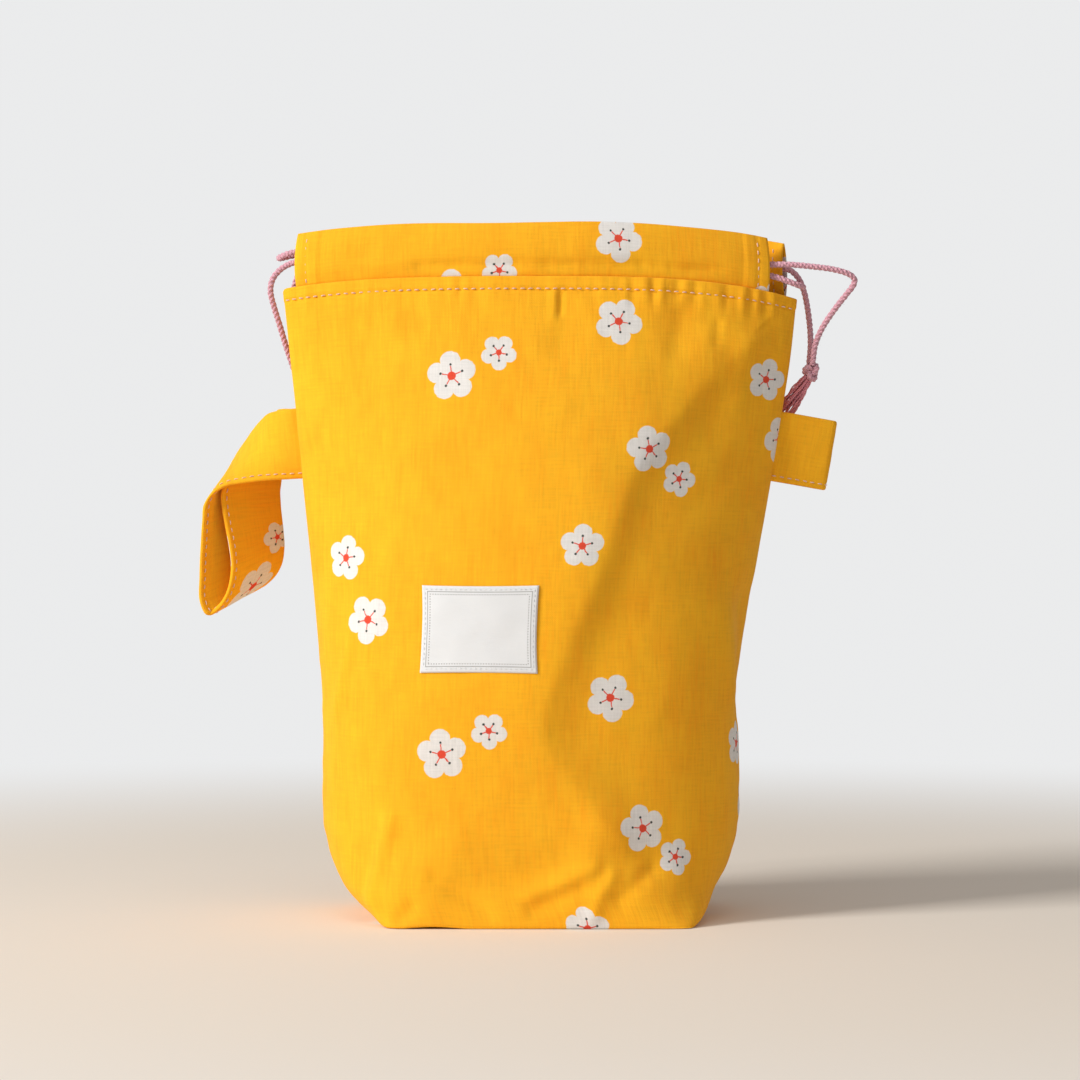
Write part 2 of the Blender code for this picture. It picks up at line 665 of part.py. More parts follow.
def add_label(collection):
    """The woven label, which follows the front of the bag."""
    rows = []
    for j in range(LABEL_ROWS + 1):
        height = LABEL_Z + LABEL_HEIGHT * (j / LABEL_ROWS - 0.5)
        stand_off = LABEL_CLEARANCE + LABEL_THICKNESS / 2
        places = [LABEL_X + LABEL_WIDTH * (i / LABEL_COLUMNS - 0.5) for i in range(LABEL_COLUMNS + 1)]
        rows.append([cloth_point(height, place, inward=-stand_off) for place in places])
    bm, _ = sheet_mesh("label", rows)
    thicken(add_object("label", bm, "woven_label", collection), LABEL_THICKNESS, 0)


def add_cord(name, route, collection):
    """A cord as a tube on a smooth run through its route."""
    run = smooth_points([rim_place(place) for place in route], CORD_CURVE_STEPS)
    points = spaced_evenly(run, CORD_STEP * CORD_DIAMETER)
    curve = bpy.data.curves.new(name, "CURVE")
    curve.dimensions = "3D"
    curve.bevel_depth = CORD_DIAMETER / 2
    curve.bevel_resolution = 2
    curve.use_fill_caps = True
    spline = curve.splines.new("POLY")
    spline.points.add(len(points) - 1)
    for target, point in zip(spline.points, points):
        target.co = (*point, 1.0)
    curve.materials.append(material("pink_cord"))
    collection.objects.link(bpy.data.objects.new(name, curve))


def add_knot(name, middle, collection):
    """An overhand knot: a ball whose surface rises and falls with the wraps of the two strands."""
    bm = bmesh.new()
    bmesh.ops.create_uvsphere(bm, u_segments=KNOT_SEGMENTS, v_segments=KNOT_RINGS, radius=1.0)
    for vert in bm.verts:
        turn = math.atan2(vert.co.y, vert.co.x)
        wrap = 1 + KNOT_LUMPS * math.sin(KNOT_WRAPS * turn + KNOT_TWIST * vert.co.z) * (1 - vert.co.z**2)
        vert.co.x *= wrap * KNOT_WIDTH / 2
        vert.co.y *= wrap * KNOT_WIDTH / 2
        vert.co.z *= KNOT_HEIGHT / 2
    knot = add_object(name, bm, "pink_cord", collection)
    knot.location = rim_place(middle)


def add_tassel(name, knot, way, collection):
    """The cord's two ends below the knot, untwisted into a fluted skirt."""
    way = Vector(way).normalized()
    turn = Vector((0.0, 0.0, -1.0)).rotation_difference(way)
    # The knot is an egg, so the tassel starts where this direction leaves it.
    reach = 1 / math.sqrt((way.x**2 + way.y**2) / (KNOT_WIDTH / 2) ** 2 + way.z**2 / (KNOT_HEIGHT / 2) ** 2)
    rows = []
    for share in TASSEL_ROWS:
        radius = TASSEL_TOP_RADIUS + (TASSEL_END_RADIUS - TASSEL_TOP_RADIUS) * math.sqrt(share)
        ring = []
        for i in range(2 * TASSEL_FLUTES):
            angle = math.pi * i / TASSEL_FLUTES
            flute = 1 + TASSEL_FLUTE_DEPTH * share * (1 if i % 2 else -1)
            ring.append((math.cos(angle) * radius * flute, math.sin(angle) * radius * flute, -share * TASSEL_LENGTH))
        rows.append(ring)
    bm, verts = sheet_mesh(name, rows[::-1], wrap=True)
    bm.faces.new(verts[0][::-1])
    bm.faces.new(verts[-1])
    tassel = add_object(name, bm, "pink_cord", collection)
    tassel.rotation_mode = "QUATERNION"
    tassel.rotation_quaternion = Quaternion(turn)
    tassel.location = rim_place(knot) + way * (reach + SEAM_GAP)


def main():
    clear_scene()
    collection = bpy.data.collections.new("drawstring_pouch")
    bpy.context.scene.collection.children.link(collection)
    add_shell(collection)
    add_lining(collection)
    add_channel("front_channel", FRONT_CHANNEL_X, False, collection)
    add_channel("back_channel", BACK_CHANNEL_X, True, collection)
    add_strap(collection)
    add_tab(collection)
    add_label(collection)
    add_cord("drawcord_right", RIGHT_CORD_ROUTE, collection)
    add_cord("drawcord_left", LEFT_CORD_ROUTE, collection)
    add_knot("knot_right", RIGHT_KNOT, collection)
    add_knot("knot_left", LEFT_KNOT, collection)
    add_tassel("tassel_right", RIGHT_KNOT, RIGHT_TASSEL_WAY, collection)
    add_tassel("tassel_left", LEFT_KNOT, LEFT_TASSEL_WAY, collection)


main()
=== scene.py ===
"""Dresses a drawstring pouch: printed cotton with its folds, seams and top stitching, twisted cords
with their knots and tassels, a woven label, and a plain studio round it."""

import functools
import math
import random

import bmesh
import bpy
import numpy as np
from bpy.props import FloatProperty, FloatVectorProperty, IntProperty, PointerProperty
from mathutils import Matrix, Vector, noise


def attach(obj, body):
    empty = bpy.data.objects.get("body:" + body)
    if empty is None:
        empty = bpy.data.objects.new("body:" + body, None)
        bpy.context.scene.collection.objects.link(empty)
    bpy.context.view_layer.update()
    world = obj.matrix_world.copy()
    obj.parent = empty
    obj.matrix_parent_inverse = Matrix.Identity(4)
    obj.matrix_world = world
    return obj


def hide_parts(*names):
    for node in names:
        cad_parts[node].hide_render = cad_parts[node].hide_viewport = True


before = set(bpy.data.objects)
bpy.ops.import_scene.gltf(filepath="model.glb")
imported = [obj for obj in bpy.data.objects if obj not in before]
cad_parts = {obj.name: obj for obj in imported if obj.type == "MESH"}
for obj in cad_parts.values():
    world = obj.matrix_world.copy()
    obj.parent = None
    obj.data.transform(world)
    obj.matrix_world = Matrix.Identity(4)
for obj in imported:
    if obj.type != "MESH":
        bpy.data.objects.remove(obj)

bl_info = {
    "name": "Drawstring pouch",
    "version": (1, 0, 0),
    "blender": (4, 5, 0),
    "location": "3D View > Sidebar > Pouch",
    "description": "Dresses a drawstring pouch in printed cotton, twisted cords and stitching",
    "category": "Add Mesh",
}

# The bag's form, as in its solids
CUT_WIDTH = 0.186
RIM_WIDTH = 0.180
RIM_HEIGHT = 0.2204
RIM_DROP_RIGHT = 0.0070
RIM_DROP_LEFT = 0.0033
SAG_SHARPNESS = 3.2
SAG_FADE = 4
BASE_WIDTH = 0.106
BASE_DEPTH = 0.0868
BELLY_WIDTH = 0.1448
BELLY_HEIGHT = 0.047
BELLY_ROUNDING = 3.2
BODY_LEAN = 0.0031
LEAN_FOOT = 0.012
LEAN_START = 0.075
LEAN_END = 0.205
SHELL_THICKNESS = 0.0008
LINING_THICKNESS = 0.0005
FOOT_LIFT = 0.0009
SEAM_GAP = 0.0003
SEAM_ALLOWANCE = 0.009
LINING_DROP = 0.0006
LINING_EASE = 0.0015
LINING_EASE_REACH = 0.02
CHANNEL_LENGTH = 0.167
CHANNEL_RISE = 0.0189
CHANNEL_TAIL = 0.0035
CHANNEL_CLOTH = 0.00045
CHANNEL_SLIT = 0.0002
CHANNEL_BULGE = 0.0017
CHANNEL_FULLNESS = 0.8
CHANNEL_LEAN = 0.001
FRONT_CHANNEL_X = -0.0030
BACK_CHANNEL_X = 0.0045
STRAP_WIDTH = 0.0245
STRAP_THICKNESS = 0.0016
STRAP_HEIGHT = 0.1645
TAB_HEIGHT = 0.1644
TAB_LENGTH = 0.0188
TAB_SWING = 0.0030
SEAT_GAP = 0.0005
SEAM_BITE = 0.0017
LAYER_GAP = 0.0003
LABEL_WIDTH = 0.040
LABEL_HEIGHT = 0.0295
LABEL_X = -0.0178
LABEL_Z = 0.1000
LABEL_THICKNESS = 0.0004
LABEL_CLEARANCE = 0.0004
LABEL_WAIST = 0.0005
SECTION_STEPS = 960
SECTION_HALVINGS = 40
OUTWARD_REACH = 0.01

BASE_EXPONENTS = (0.12, 0.12)
SECTION_STATIONS = (
    # place from belly to rim, share of the widening, width exponent, depth exponent
    (0.00, 0.00, 0.80, 0.85),
    (0.16, 0.01, 0.86, 0.90),
    (0.26, 0.10, 0.92, 0.95),
    (0.43, 0.30, 1.00, 1.15),
    (0.60, 0.54, 1.00, 1.30),
    (0.78, 0.77, 1.00, 1.35),
    (0.87, 0.88, 1.00, 1.30),
    (1.00, 1.00, 1.00, 1.20),
)

# Soft creases, as in the solids: start and end as (distance along the cloth from the middle,
# height), how wide the crease is, and how far it stands out, or in where negative.
FRONT_CREASES = (
    ((-0.020, 0.012), (0.013, 0.021), 0.0075, -0.0011),
    ((0.014, 0.012), (0.024, 0.034), 0.0080, 0.0010),
    ((0.026, 0.018), (0.040, 0.020), 0.0070, -0.0010),
    ((0.038, 0.024), (0.050, 0.006), 0.0070, -0.0010),
    ((-0.051, 0.008), (-0.026, 0.028), 0.0085, 0.0010),
    ((-0.058, 0.018), (-0.066, 0.046), 0.0090, -0.0010),
    ((0.070, 0.104), (0.078, 0.080), 0.0070, 0.0012),
    ((0.084, 0.108), (0.088, 0.076), 0.0080, -0.0022),
    ((0.008, 0.208), (0.008, 0.196), 0.0065, -0.0008),
    ((0.052, 0.204), (0.046, 0.182), 0.0100, -0.0012),
)
BACK_CREASES = (
    ((-0.045, 0.012), (-0.012, 0.024), 0.0085, -0.0012),
    ((0.008, 0.014), (0.026, 0.036), 0.0085, 0.0010),
    ((0.048, 0.008), (0.030, 0.030), 0.0080, -0.0010),
    ((-0.066, 0.090), (-0.050, 0.120), 0.0110, -0.0014),
    ((0.060, 0.130), (0.040, 0.160), 0.0120, 0.0012),
    ((0.010, 0.204), (0.004, 0.180), 0.0095, -0.0012),
    ((-0.050, 0.204), (-0.044, 0.176), 0.0100, -0.0012),
)

# Finer folds that only the looks have, in the same form
FRONT_FOLDS = (
    ((-0.073, 0.072), (-0.066, 0.094), 0.0026, 0.0005),
    ((-0.056, 0.008), (-0.048, 0.035), 0.0030, 0.0010),
    ((-0.047, 0.002), (-0.041, 0.007), 0.0022, -0.0009),
    ((-0.032, 0.016), (-0.016, 0.005), 0.0030, -0.0009),
    ((-0.001, 0.006), (0.017, 0.013), 0.0026, -0.0011),
    ((0.000, 0.011), (0.021, 0.020), 0.0028, 0.0009),
    ((0.018, 0.003), (0.027, 0.017), 0.0026, 0.0011),
    ((0.029, 0.009), (0.041, 0.019), 0.0026, -0.0009),
    ((0.0072, 0.2148), (0.0070, 0.2078), 0.0011, -0.0008),
    ((0.0050, 0.2145), (0.0048, 0.2065), 0.0014, 0.0004),
    ((0.0490, 0.2075), (0.0470, 0.1960), 0.0040, -0.0007),
    ((0.0620, 0.2060), (0.0615, 0.1995), 0.0018, -0.0005),
    ((0.0660, 0.1960), (0.0580, 0.1760), 0.0070, -0.0009),
    ((0.0730, 0.2000), (0.0705, 0.1780), 0.0042, 0.0006),
    ((-0.0870, 0.1700), (-0.0700, 0.1640), 0.0050, 0.0004),
    ((-0.0640, 0.2040), (-0.0560, 0.1900), 0.0060, -0.0004),
    ((-0.0300, 0.2040), (-0.0220, 0.1820), 0.0080, 0.0004),
    ((0.0740, 0.1560), (0.0560, 0.1420), 0.0060, -0.0005),
    ((0.0180, 0.1500), (0.0400, 0.1240), 0.0100, 0.0006),
)
BACK_FOLDS = (
    ((-0.052, 0.006), (-0.044, 0.030), 0.0032, 0.0007),
    ((0.044, 0.002), (0.038, 0.008), 0.0022, -0.0009),
    ((-0.010, 0.009), (0.012, 0.016), 0.0034, -0.0006),
    ((0.022, 0.004), (0.014, 0.018), 0.0030, 0.0006),
    ((-0.030, 0.070), (-0.048, 0.040), 0.0090, 0.0010),
    ((0.050, 0.080), (0.066, 0.055), 0.0080, -0.0009),
    ((0.030, 0.206), (0.026, 0.190), 0.0042, -0.0006),
    ((-0.018, 0.206), (-0.016, 0.196), 0.0016, -0.0005),
    ((0.000, 0.150), (-0.026, 0.120), 0.0100, 0.0006),
)

# The long soft fold down the front, from the rim to the base, as (distance along the cloth, height).
# The cloth rises to it from the left and falls away on its right.
LONG_FOLD = (
    (0.074, 0.203),
    (0.053, 0.180),
    (0.032, 0.154),
    (0.022, 0.124),
    (0.011, 0.094),
    (0.004, 0.064),
    (0.019, 0.043),
    (0.032, 0.026),
    (0.045, 0.009),
)
FOLD_RISE = 0.0017
FOLD_FALL = 0.0015
FOLD_LEFT_REACH = 0.020
FOLD_RIGHT_REACH = 0.0082
FOLD_RECOVERY = 0.034

# The strap's run, as in the solids: its stitched lower edge and the way its width points
STRAP_RUN = (
    ((-0.0080, -0.0015, -0.0005), (-0.10, 0.22, 0.97)),
    ((-0.0143, -0.0020, -0.0009), (-0.02, 0.50, 0.87)),
    ((-0.0202, -0.0025, -0.0016), (0.02, 0.76, 0.65)),
    ((-0.0255, -0.0025, -0.0024), (0.06, 0.90, 0.43)),
    ((-0.0300, -0.0025, -0.0049), (0.17, 0.92, 0.34)),
    ((-0.0330, -0.0025, -0.0091), (0.46, 0.86, 0.22)),
    ((-0.0338, -0.0020, -0.0150), (0.56, 0.80, 0.22)),
    ((-0.0344, -0.0015, -0.0237), (0.63, 0.74, 0.24)),
    ((-0.0349, -0.0010, -0.0342), (0.68, 0.67, 0.30)),
    ((-0.0349, -0.0005, -0.0429), (0.72, 0.58, 0.38)),
    ((-0.0326, 0.0000, -0.0474), (0.74, 0.52, 0.43)),
    ((-0.0290, 0.0005, -0.0450), (0.74, 0.52, 0.42)),
    ((-0.0255, 0.0005, -0.0394), (0.72, 0.58, 0.38)),
    ((-0.0241, 0.0005, -0.0310), (0.70, 0.65, 0.30)),
    ((-0.0248, 0.0008, -0.0237), (0.71, 0.67, 0.20)),
    ((-0.0262, 0.0010, -0.0167), (0.75, 0.65, 0.12)),
    ((-0.0274, 0.0012, -0.0098), (0.78, 0.62, 0.06)),
    ((-0.0276, 0.0015, -0.0045), (0.79, 0.61, 0.08)),
    ((-0.0258, 0.0025, -0.0010), (0.74, 0.60, 0.30)),
    ((-0.0209, 0.0028, 0.0009), (0.52, 0.60, 0.60)),
    ((-0.0143, 0.0022, 0.0010), (0.22, 0.42, 0.88)),
    ((-0.0073, 0.0015, 0.0005), (-0.02, 0.20, 0.98)),
)

RIGHT_CORD_ROUTE = (
    (0.0954, 0.0016, 0.1932),
    (0.0962, 0.0010, 0.1985),
    (0.0985, 0.0002, 0.2040),
    (0.1030, -0.0010, 0.2108),
    (0.1068, -0.0021, 0.2157),
    (0.1090, -0.0030, 0.2187),
    (0.1093, -0.0036, 0.2206),
    (0.1076, -0.0042, 0.2222),
    (0.1026, -0.0048, 0.2238),
    (0.0947, -0.0050, 0.2249),
    (0.0870, -0.0049, 0.2256),
    (0.0790, -0.0044, 0.2258),
    (0.0683, -0.0072, 0.2272),
    (0.0484, -0.0107, 0.2292),
    (0.0281, -0.0127, 0.2304),
    (0.0077, -0.0136, 0.2310),
    (-0.0127, -0.0135, 0.2314),
    (-0.0330, -0.0123, 0.2315),
    (-0.0532, -0.0100, 0.2314),
    (-0.0731, -0.0060, 0.2310),
    (-0.0825, -0.0029, 0.2306),
    (-0.0880, -0.0018, 0.2296),
    (-0.0904, -0.0001, 0.2288),
    (-0.0912, 0.0021, 0.2284),
    (-0.0903, 0.0042, 0.2287),
    (-0.0880, 0.0055, 0.2294),
    (-0.0840, 0.0055, 0.2302),
    (-0.0771, 0.0049, 0.2309),
    (-0.0673, 0.0074, 0.2312),
    (-0.0473, 0.0108, 0.2315),
    (-0.0271, 0.0128, 0.2315),
    (-0.0067, 0.0136, 0.2313),
    (0.0137, 0.0135, 0.2308),
    (0.0340, 0.0123, 0.2301),
    (0.0542, 0.0099, 0.2287),
    (0.0740, 0.0058, 0.2264),
    (0.0833, 0.0025, 0.2250),
    (0.0872, 0.0014, 0.2243),
    (0.0906, 0.0030, 0.2212),
    (0.0926, 0.0050, 0.2168),
    (0.0938, 0.0059, 0.2115),
    (0.0946, 0.0056, 0.2050),
    (0.0948, 0.0047, 0.1988),
    (0.0944, 0.0043, 0.1932),
)
LEFT_CORD_ROUTE = (
    (-0.0822, 0.0108, 0.1764),
    (-0.0838, 0.0104, 0.1820),
    (-0.0866, 0.0092, 0.1900),
    (-0.0892, 0.0072, 0.1980),
    (-0.0913, 0.0050, 0.2055),
    (-0.0931, 0.0028, 0.2118),
    (-0.0941, 0.0010, 0.2168),
    (-0.0934, 0.0000, 0.2206),
    (-0.0910, -0.0006, 0.2238),
    (-0.0871, -0.0014, 0.2262),
    (-0.0825, -0.0030, 0.2270),
    (-0.0731, -0.0062, 0.2274),
    (-0.0533, -0.0102, 0.2278),
    (-0.0330, -0.0125, 0.2279),
    (-0.0127, -0.0137, 0.2278),
    (0.0077, -0.0138, 0.2274),
    (0.0281, -0.0129, 0.2268),
    (0.0484, -0.0109, 0.2256),
    (0.0683, -0.0074, 0.2236),
    (0.0780, -0.0047, 0.2222),
    (0.0834, -0.0048, 0.2208),
    (0.0880, -0.0046, 0.2191),
    (0.0907, -0.0033, 0.2183),
    (0.0917, -0.0014, 0.2181),
    (0.0909, 0.0004, 0.2186),
    (0.0886, 0.0014, 0.2196),
    (0.0834, 0.0026, 0.2214),
    (0.0741, 0.0059, 0.2228),
    (0.0543, 0.0100, 0.2251),
    (0.0340, 0.0124, 0.2265),
    (0.0137, 0.0136, 0.2272),
    (-0.0067, 0.0138, 0.2277),
    (-0.0271, 0.0130, 0.2279),
    (-0.0474, 0.0110, 0.2279),
    (-0.0674, 0.0076, 0.2276),
    (-0.0771, 0.0050, 0.2273),
    (-0.0820, 0.0064, 0.2262),
    (-0.0852, 0.0080, 0.2226),
    (-0.0868, 0.0094, 0.2172),
    (-0.0872, 0.0108, 0.2104),
    (-0.0866, 0.0120, 0.2020),
    (-0.0850, 0.0130, 0.1930),
    (-0.0830, 0.0135, 0.1850),
    (-0.0812, 0.0133, 0.1764),
)
RIGHT_KNOT = (0.0949, 0.0030, 0.1889)
LEFT_KNOT = (-0.0817, 0.0120, 0.1721)
KNOT_WIDTH = 0.0066
KNOT_HEIGHT = 0.0080
RIGHT_TASSEL_WAY = (-0.52, 0.26, -0.81)
LEFT_TASSEL_WAY = (0.06, 0.05, -1.0)
KNOT_REACH = 0.0022
TASSEL_LENGTH = 0.0150
TASSEL_TOP_RADIUS = 0.0017
TASSEL_END_RADIUS = 0.0037

# One repeat of the print, in millimetres: place, radius and turn of each blossom
BLOSSOMS = (
    (120, 22, 8.6, 0.20),
    (136, 30, 6.2, 0.90),
    (82, 88, 7.8, 0.50),
    (92, 67, 8.4, 1.05),
    (38, 61, 8.0, 0.10),
    (50, 51, 6.2, 0.70),
    (16, 28, 7.4, 0.35),
    (27, 105, 8.2, 0.80),
)
PRINT_RAISE = 28


class PouchCloth(bpy.types.PropertyGroup):
    """The printed cotton, the lining and the label."""

    ground: FloatVectorProperty(name="Ground", description="Ground colour of the print", subtype="COLOR", size=3, default=(0.98, 0.475, 0.012))
    deep: FloatVectorProperty(name="Deep dye", description="Ground colour where the dye took most", subtype="COLOR", size=3, default=(0.97, 0.34, 0.006))
    slub: FloatVectorProperty(name="Slubs", description="Colour of the thick, pale stretches of thread", subtype="COLOR", size=3, default=(1.0, 0.51, 0.016))
    lining: FloatVectorProperty(name="Lining", description="Colour of the plain lining", subtype="COLOR", size=3, default=(0.80, 0.73, 0.60))
    label: FloatVectorProperty(name="Label", description="Colour of the woven label", subtype="COLOR", size=3, default=(0.83, 0.85, 0.875))
    border: FloatVectorProperty(name="Label border", description="Colour of the lines woven into the label", subtype="COLOR", size=3, default=(0.36, 0.36, 0.365))
    weave: FloatProperty(name="Weave", description="Width of two threads of the weave", unit="LENGTH", default=0.00062)
    unevenness: FloatProperty(name="Unevenness", description="How far the cloth wanders from its smooth form", unit="LENGTH", default=0.00045)
    hem: FloatProperty(name="Hem", description="Depth of the stitched hem at the rim", unit="LENGTH", default=0.0041)


class PouchPrint(bpy.types.PropertyGroup):
    """The printed blossoms."""

    repeat_width: FloatProperty(name="Repeat width", description="Width of one repeat of the print", unit="LENGTH", default=0.150)
    repeat_height: FloatProperty(name="Repeat height", description="Height of one repeat of the print", unit="LENGTH", default=0.128)
    petal: FloatVectorProperty(name="Petals", description="Colour of the petals", subtype="COLOR", size=3, default=(0.79, 0.785, 0.78))
    heart: FloatVectorProperty(name="Hearts", description="Colour of the blossoms' hearts", subtype="COLOR", size=3, default=(0.76, 0.075, 0.038))
    dot: FloatVectorProperty(name="Dots", description="Colour of the small dots on the petals", subtype="COLOR", size=3, default=(0.045, 0.055, 0.05))


class PouchThread(bpy.types.PropertyGroup):
    """The sewing thread."""

    colour: FloatVectorProperty(name="Colour", description="Colour of the top stitching", subtype="COLOR", size=3, default=(0.95, 0.65, 0.50))
    pitch: FloatProperty(name="Pitch", description="From one stitch to the next", unit="LENGTH", default=0.0028)
    share: FloatProperty(name="Stitch share", description="Length of a stitch as a share of the pitch", subtype="FACTOR", min=0.0, max=1.0, default=0.62)
    radius: FloatProperty(name="Radius", description="Radius of the thread", unit="LENGTH", default=0.00021)


class PouchCord(bpy.types.PropertyGroup):
    """The drawstring cords."""

    colour: FloatVectorProperty(name="Colour", description="Colour of the cords", subtype="COLOR", size=3, default=(0.63, 0.28, 0.365))
    pale: FloatVectorProperty(name="Pale yarn", description="Colour of the paler fibres", subtype="COLOR", size=3, default=(0.82, 0.52, 0.60))
    # The tassels' yarn is the cord's own yarn, coloured brighter here: painted light for the tassels, which hang in the
    # bag's shadow.
    loose: FloatVectorProperty(name="Loose yarn", description="Colour of the yarns in the tassels", subtype="COLOR", size=3, default=(0.85, 0.22, 0.31))
    tassel_pale_painted_light: FloatVectorProperty(name="Pale loose yarn", description="Colour of their paler fibres", subtype="COLOR", size=3, default=(0.92, 0.50, 0.56))
    diameter: FloatProperty(name="Diameter", description="Outer diameter of a cord", unit="LENGTH", default=0.0022)
    twist: FloatProperty(name="Twist", description="Length of one full turn of the three strands", unit="LENGTH", default=0.0052)
    yarns: IntProperty(name="Tassel yarns", description="Loose yarns in each tassel", default=54, min=8)
    hairs: IntProperty(name="Hairs", description="Stray fibres on each cord", default=260, min=0)


class PouchStage(bpy.types.PropertyGroup):
    """Camera, floor and light."""

    lens: FloatProperty(name="Lens", description="Focal length of the camera in millimetres", default=99.2)
    distance: FloatProperty(name="Distance", description="From the camera to the middle of the pouch", unit="LENGTH", default=1.038)
    height: FloatProperty(name="Camera height", description="Height of the camera above the floor", unit="LENGTH", default=0.130)
    floor_radius: FloatProperty(name="Floor radius", description="How far from the pouch the floor begins to fade", unit="LENGTH", default=0.22)
    floor_fade: FloatProperty(name="Floor fade", description="Over what length the floor fades into the backdrop", unit="LENGTH", default=0.55)
    ambient: FloatVectorProperty(name="Ambient", description="Colour of the light from all round", subtype="COLOR", size=3, default=(1.0, 0.985, 0.965))
    backdrop: FloatVectorProperty(name="Backdrop", description="Colour of the backdrop", subtype="COLOR", size=3, default=(0.83, 0.835, 0.84))
    floor: FloatVectorProperty(name="Floor", description="Colour of the floor", subtype="COLOR", size=3, default=(0.87, 0.79, 0.70))
    key: FloatProperty(name="Key light", description="Power of the large light on the left, in watts", default=62.0)
    fill: FloatProperty(name="Fill light", description="Strength of the light from all round", default=0.31)


# ---- shader nodes ----


class Wire:
    """A shader socket that takes part in Python expressions: an expression adds its Math nodes."""

    def __init__(self, finish, socket):
        self.finish, self.socket = finish, socket

    def math(self, operation, *values):
        return self.finish.add("ShaderNodeMath", {"operation": operation}, dict(enumerate(values)))

    def __add__(self, other):
        return self.math("ADD", self, other)

    def __sub__(self, other):
        return self.math("SUBTRACT", self, other)

    def __rsub__(self, other):
        return self.math("SUBTRACT", other, self)

    def __mul__(self, other):
        return self.math("MULTIPLY", self, other)

    def __truediv__(self, other):
        return self.math("DIVIDE", self, other)

    def __mod__(self, other):
        return self.math("FLOORED_MODULO", self, other)

    def __pow__(self, other):
        return self.math("POWER", self, other)

    def __lt__(self, other):
        return self.math("LESS_THAN", self, other)

    def __abs__(self):
        return self.math("ABSOLUTE", self)

    def least(self, other):
        return self.math("MINIMUM", self, other)

    def most(self, other):
        return self.math("MAXIMUM", self, other)

    def edge(self, width):
        """0 below minus half the width, 1 above half the width, and a straight ramp between."""
        clamped = self.finish.add("ShaderNodeClamp", {}, {0: self / width + 0.5})
        return clamped

    __radd__ = __add__
    __rmul__ = __mul__


class Finish:
    """A material under construction, with one Principled shader."""

    def __init__(self, name, roughness, sheen=0.0, tree=None):
        if tree is not None:
            self.tree = tree
            return
        self.material = bpy.data.materials.new(f"pouch_{name}")
        self.material.use_nodes = True
        self.tree = self.material.node_tree
        self.shader = self.tree.nodes["Principled BSDF"]
        self.shader.inputs["Roughness"].default_value = roughness
        self.shader.inputs["Specular IOR Level"].default_value = 0.18
        self.shader.inputs["Sheen Weight"].default_value = sheen
        self.shader.inputs["Sheen Roughness"].default_value = 0.6

    def add(self, kind, settings, inputs, output=0):
        """Adds a node, sets it up, fills its sockets with values or links, and gives one output."""
        node = self.tree.nodes.new(kind)
        for name, value in settings.items():
            setattr(node, name, value)
        for key, value in inputs.items():
            if isinstance(value, Wire):
                self.tree.links.new(value.socket, node.inputs[key])
            else:
                node.inputs[key].default_value = value
        return Wire(self, node.outputs[output])

    def place(self):
        """The cloth's own two coordinates, in millimetres."""
        uv = self.add("ShaderNodeUVMap", {"uv_map": "pattern"}, {})
        x = self.add("ShaderNodeSeparateXYZ", {}, {0: uv}, 0)
        y = self.add("ShaderNodeSeparateXYZ", {}, {0: uv}, 1)
        return x * 1000, y * 1000

    def seen(self):
        """1 for what the camera sees, straight or by a mirror or glass, and 0 for light's other paths."""
        paths = [self.add("ShaderNodeLightPath", {}, {}, f"Is {kind} Ray") for kind in ("Camera", "Glossy", "Transmission")]
        return paths[0].most(paths[1]).most(paths[2])

    def join(self, x, y, z=0.0):
        return self.add("ShaderNodeCombineXYZ", {}, {0: x, 1: y, 2: z})

    def noise(self, vector, scale, detail=2.0, rough=0.5):
        return self.add("ShaderNodeTexNoise", {}, {"Vector": vector, "Scale": scale, "Detail": detail, "Roughness": rough})

    def mix(self, factor, a, b, blend="MIX"):
        """Mixes two colours."""
        settings = {"data_type": "RGBA", "blend_type": blend}
        return self.add("ShaderNodeMix", settings, {0: factor, 6: as_colour(a), 7: as_colour(b)}, 2)

    def choose(self, factor, a, b):
        """a where the factor is 0 and b where it is 1, for numbers."""
        return self.add("ShaderNodeMix", {"data_type": "FLOAT"}, {0: factor, 2: a, 3: b})

    def colour(self, wire):
        self.tree.links.new(wire.socket, self.shader.inputs["Base Color"])

    def bump(self, height, depth, before=None):
        """Adds relief of this depth in metres, on top of another bump if one is given."""
        inputs = {"Height": height, "Distance": depth, "Strength": 1.0}
        if before is not None:
            inputs["Normal"] = before
        made = self.add("ShaderNodeBump", {}, inputs)
        self.tree.links.new(made.socket, self.shader.inputs["Normal"])
        return made


def as_colour(value):
    return value if isinstance(value, Wire) else (*value, 1.0)


def weave_of(finish, x, y, pitch, slub=1.0):
    """Brightness and relief of a plain weave whose threads swell and thin along their length."""
    warp = finish.noise(finish.join(x * 1.35, y * 0.10), 1.0, 3.0)
    weft = finish.noise(finish.join(x * 0.12 + 40, y * 1.45), 1.0, 3.0)
    fine = finish.noise(finish.join(x, y), 1.6, 2.0)
    across = x.math("SINE", x * (math.tau / pitch) + fine * 2)
    along = y.math("SINE", y * (math.tau / pitch) + fine * 2)
    # The swollen stretches are paler yarn, their own colour; the crossing term is painted shade, lighter where the
    # weave's relief stands up and darker where it sinks.
    slub_tone_and_painted_shade = (warp - 0.5) * 0.26 * slub + (weft - 0.5) * 0.22 * slub + across * along * 0.018
    relief = across * along * 0.12 + warp * 0.55 * slub + weft * 0.50 * slub
    return slub_tone_and_painted_shade, relief


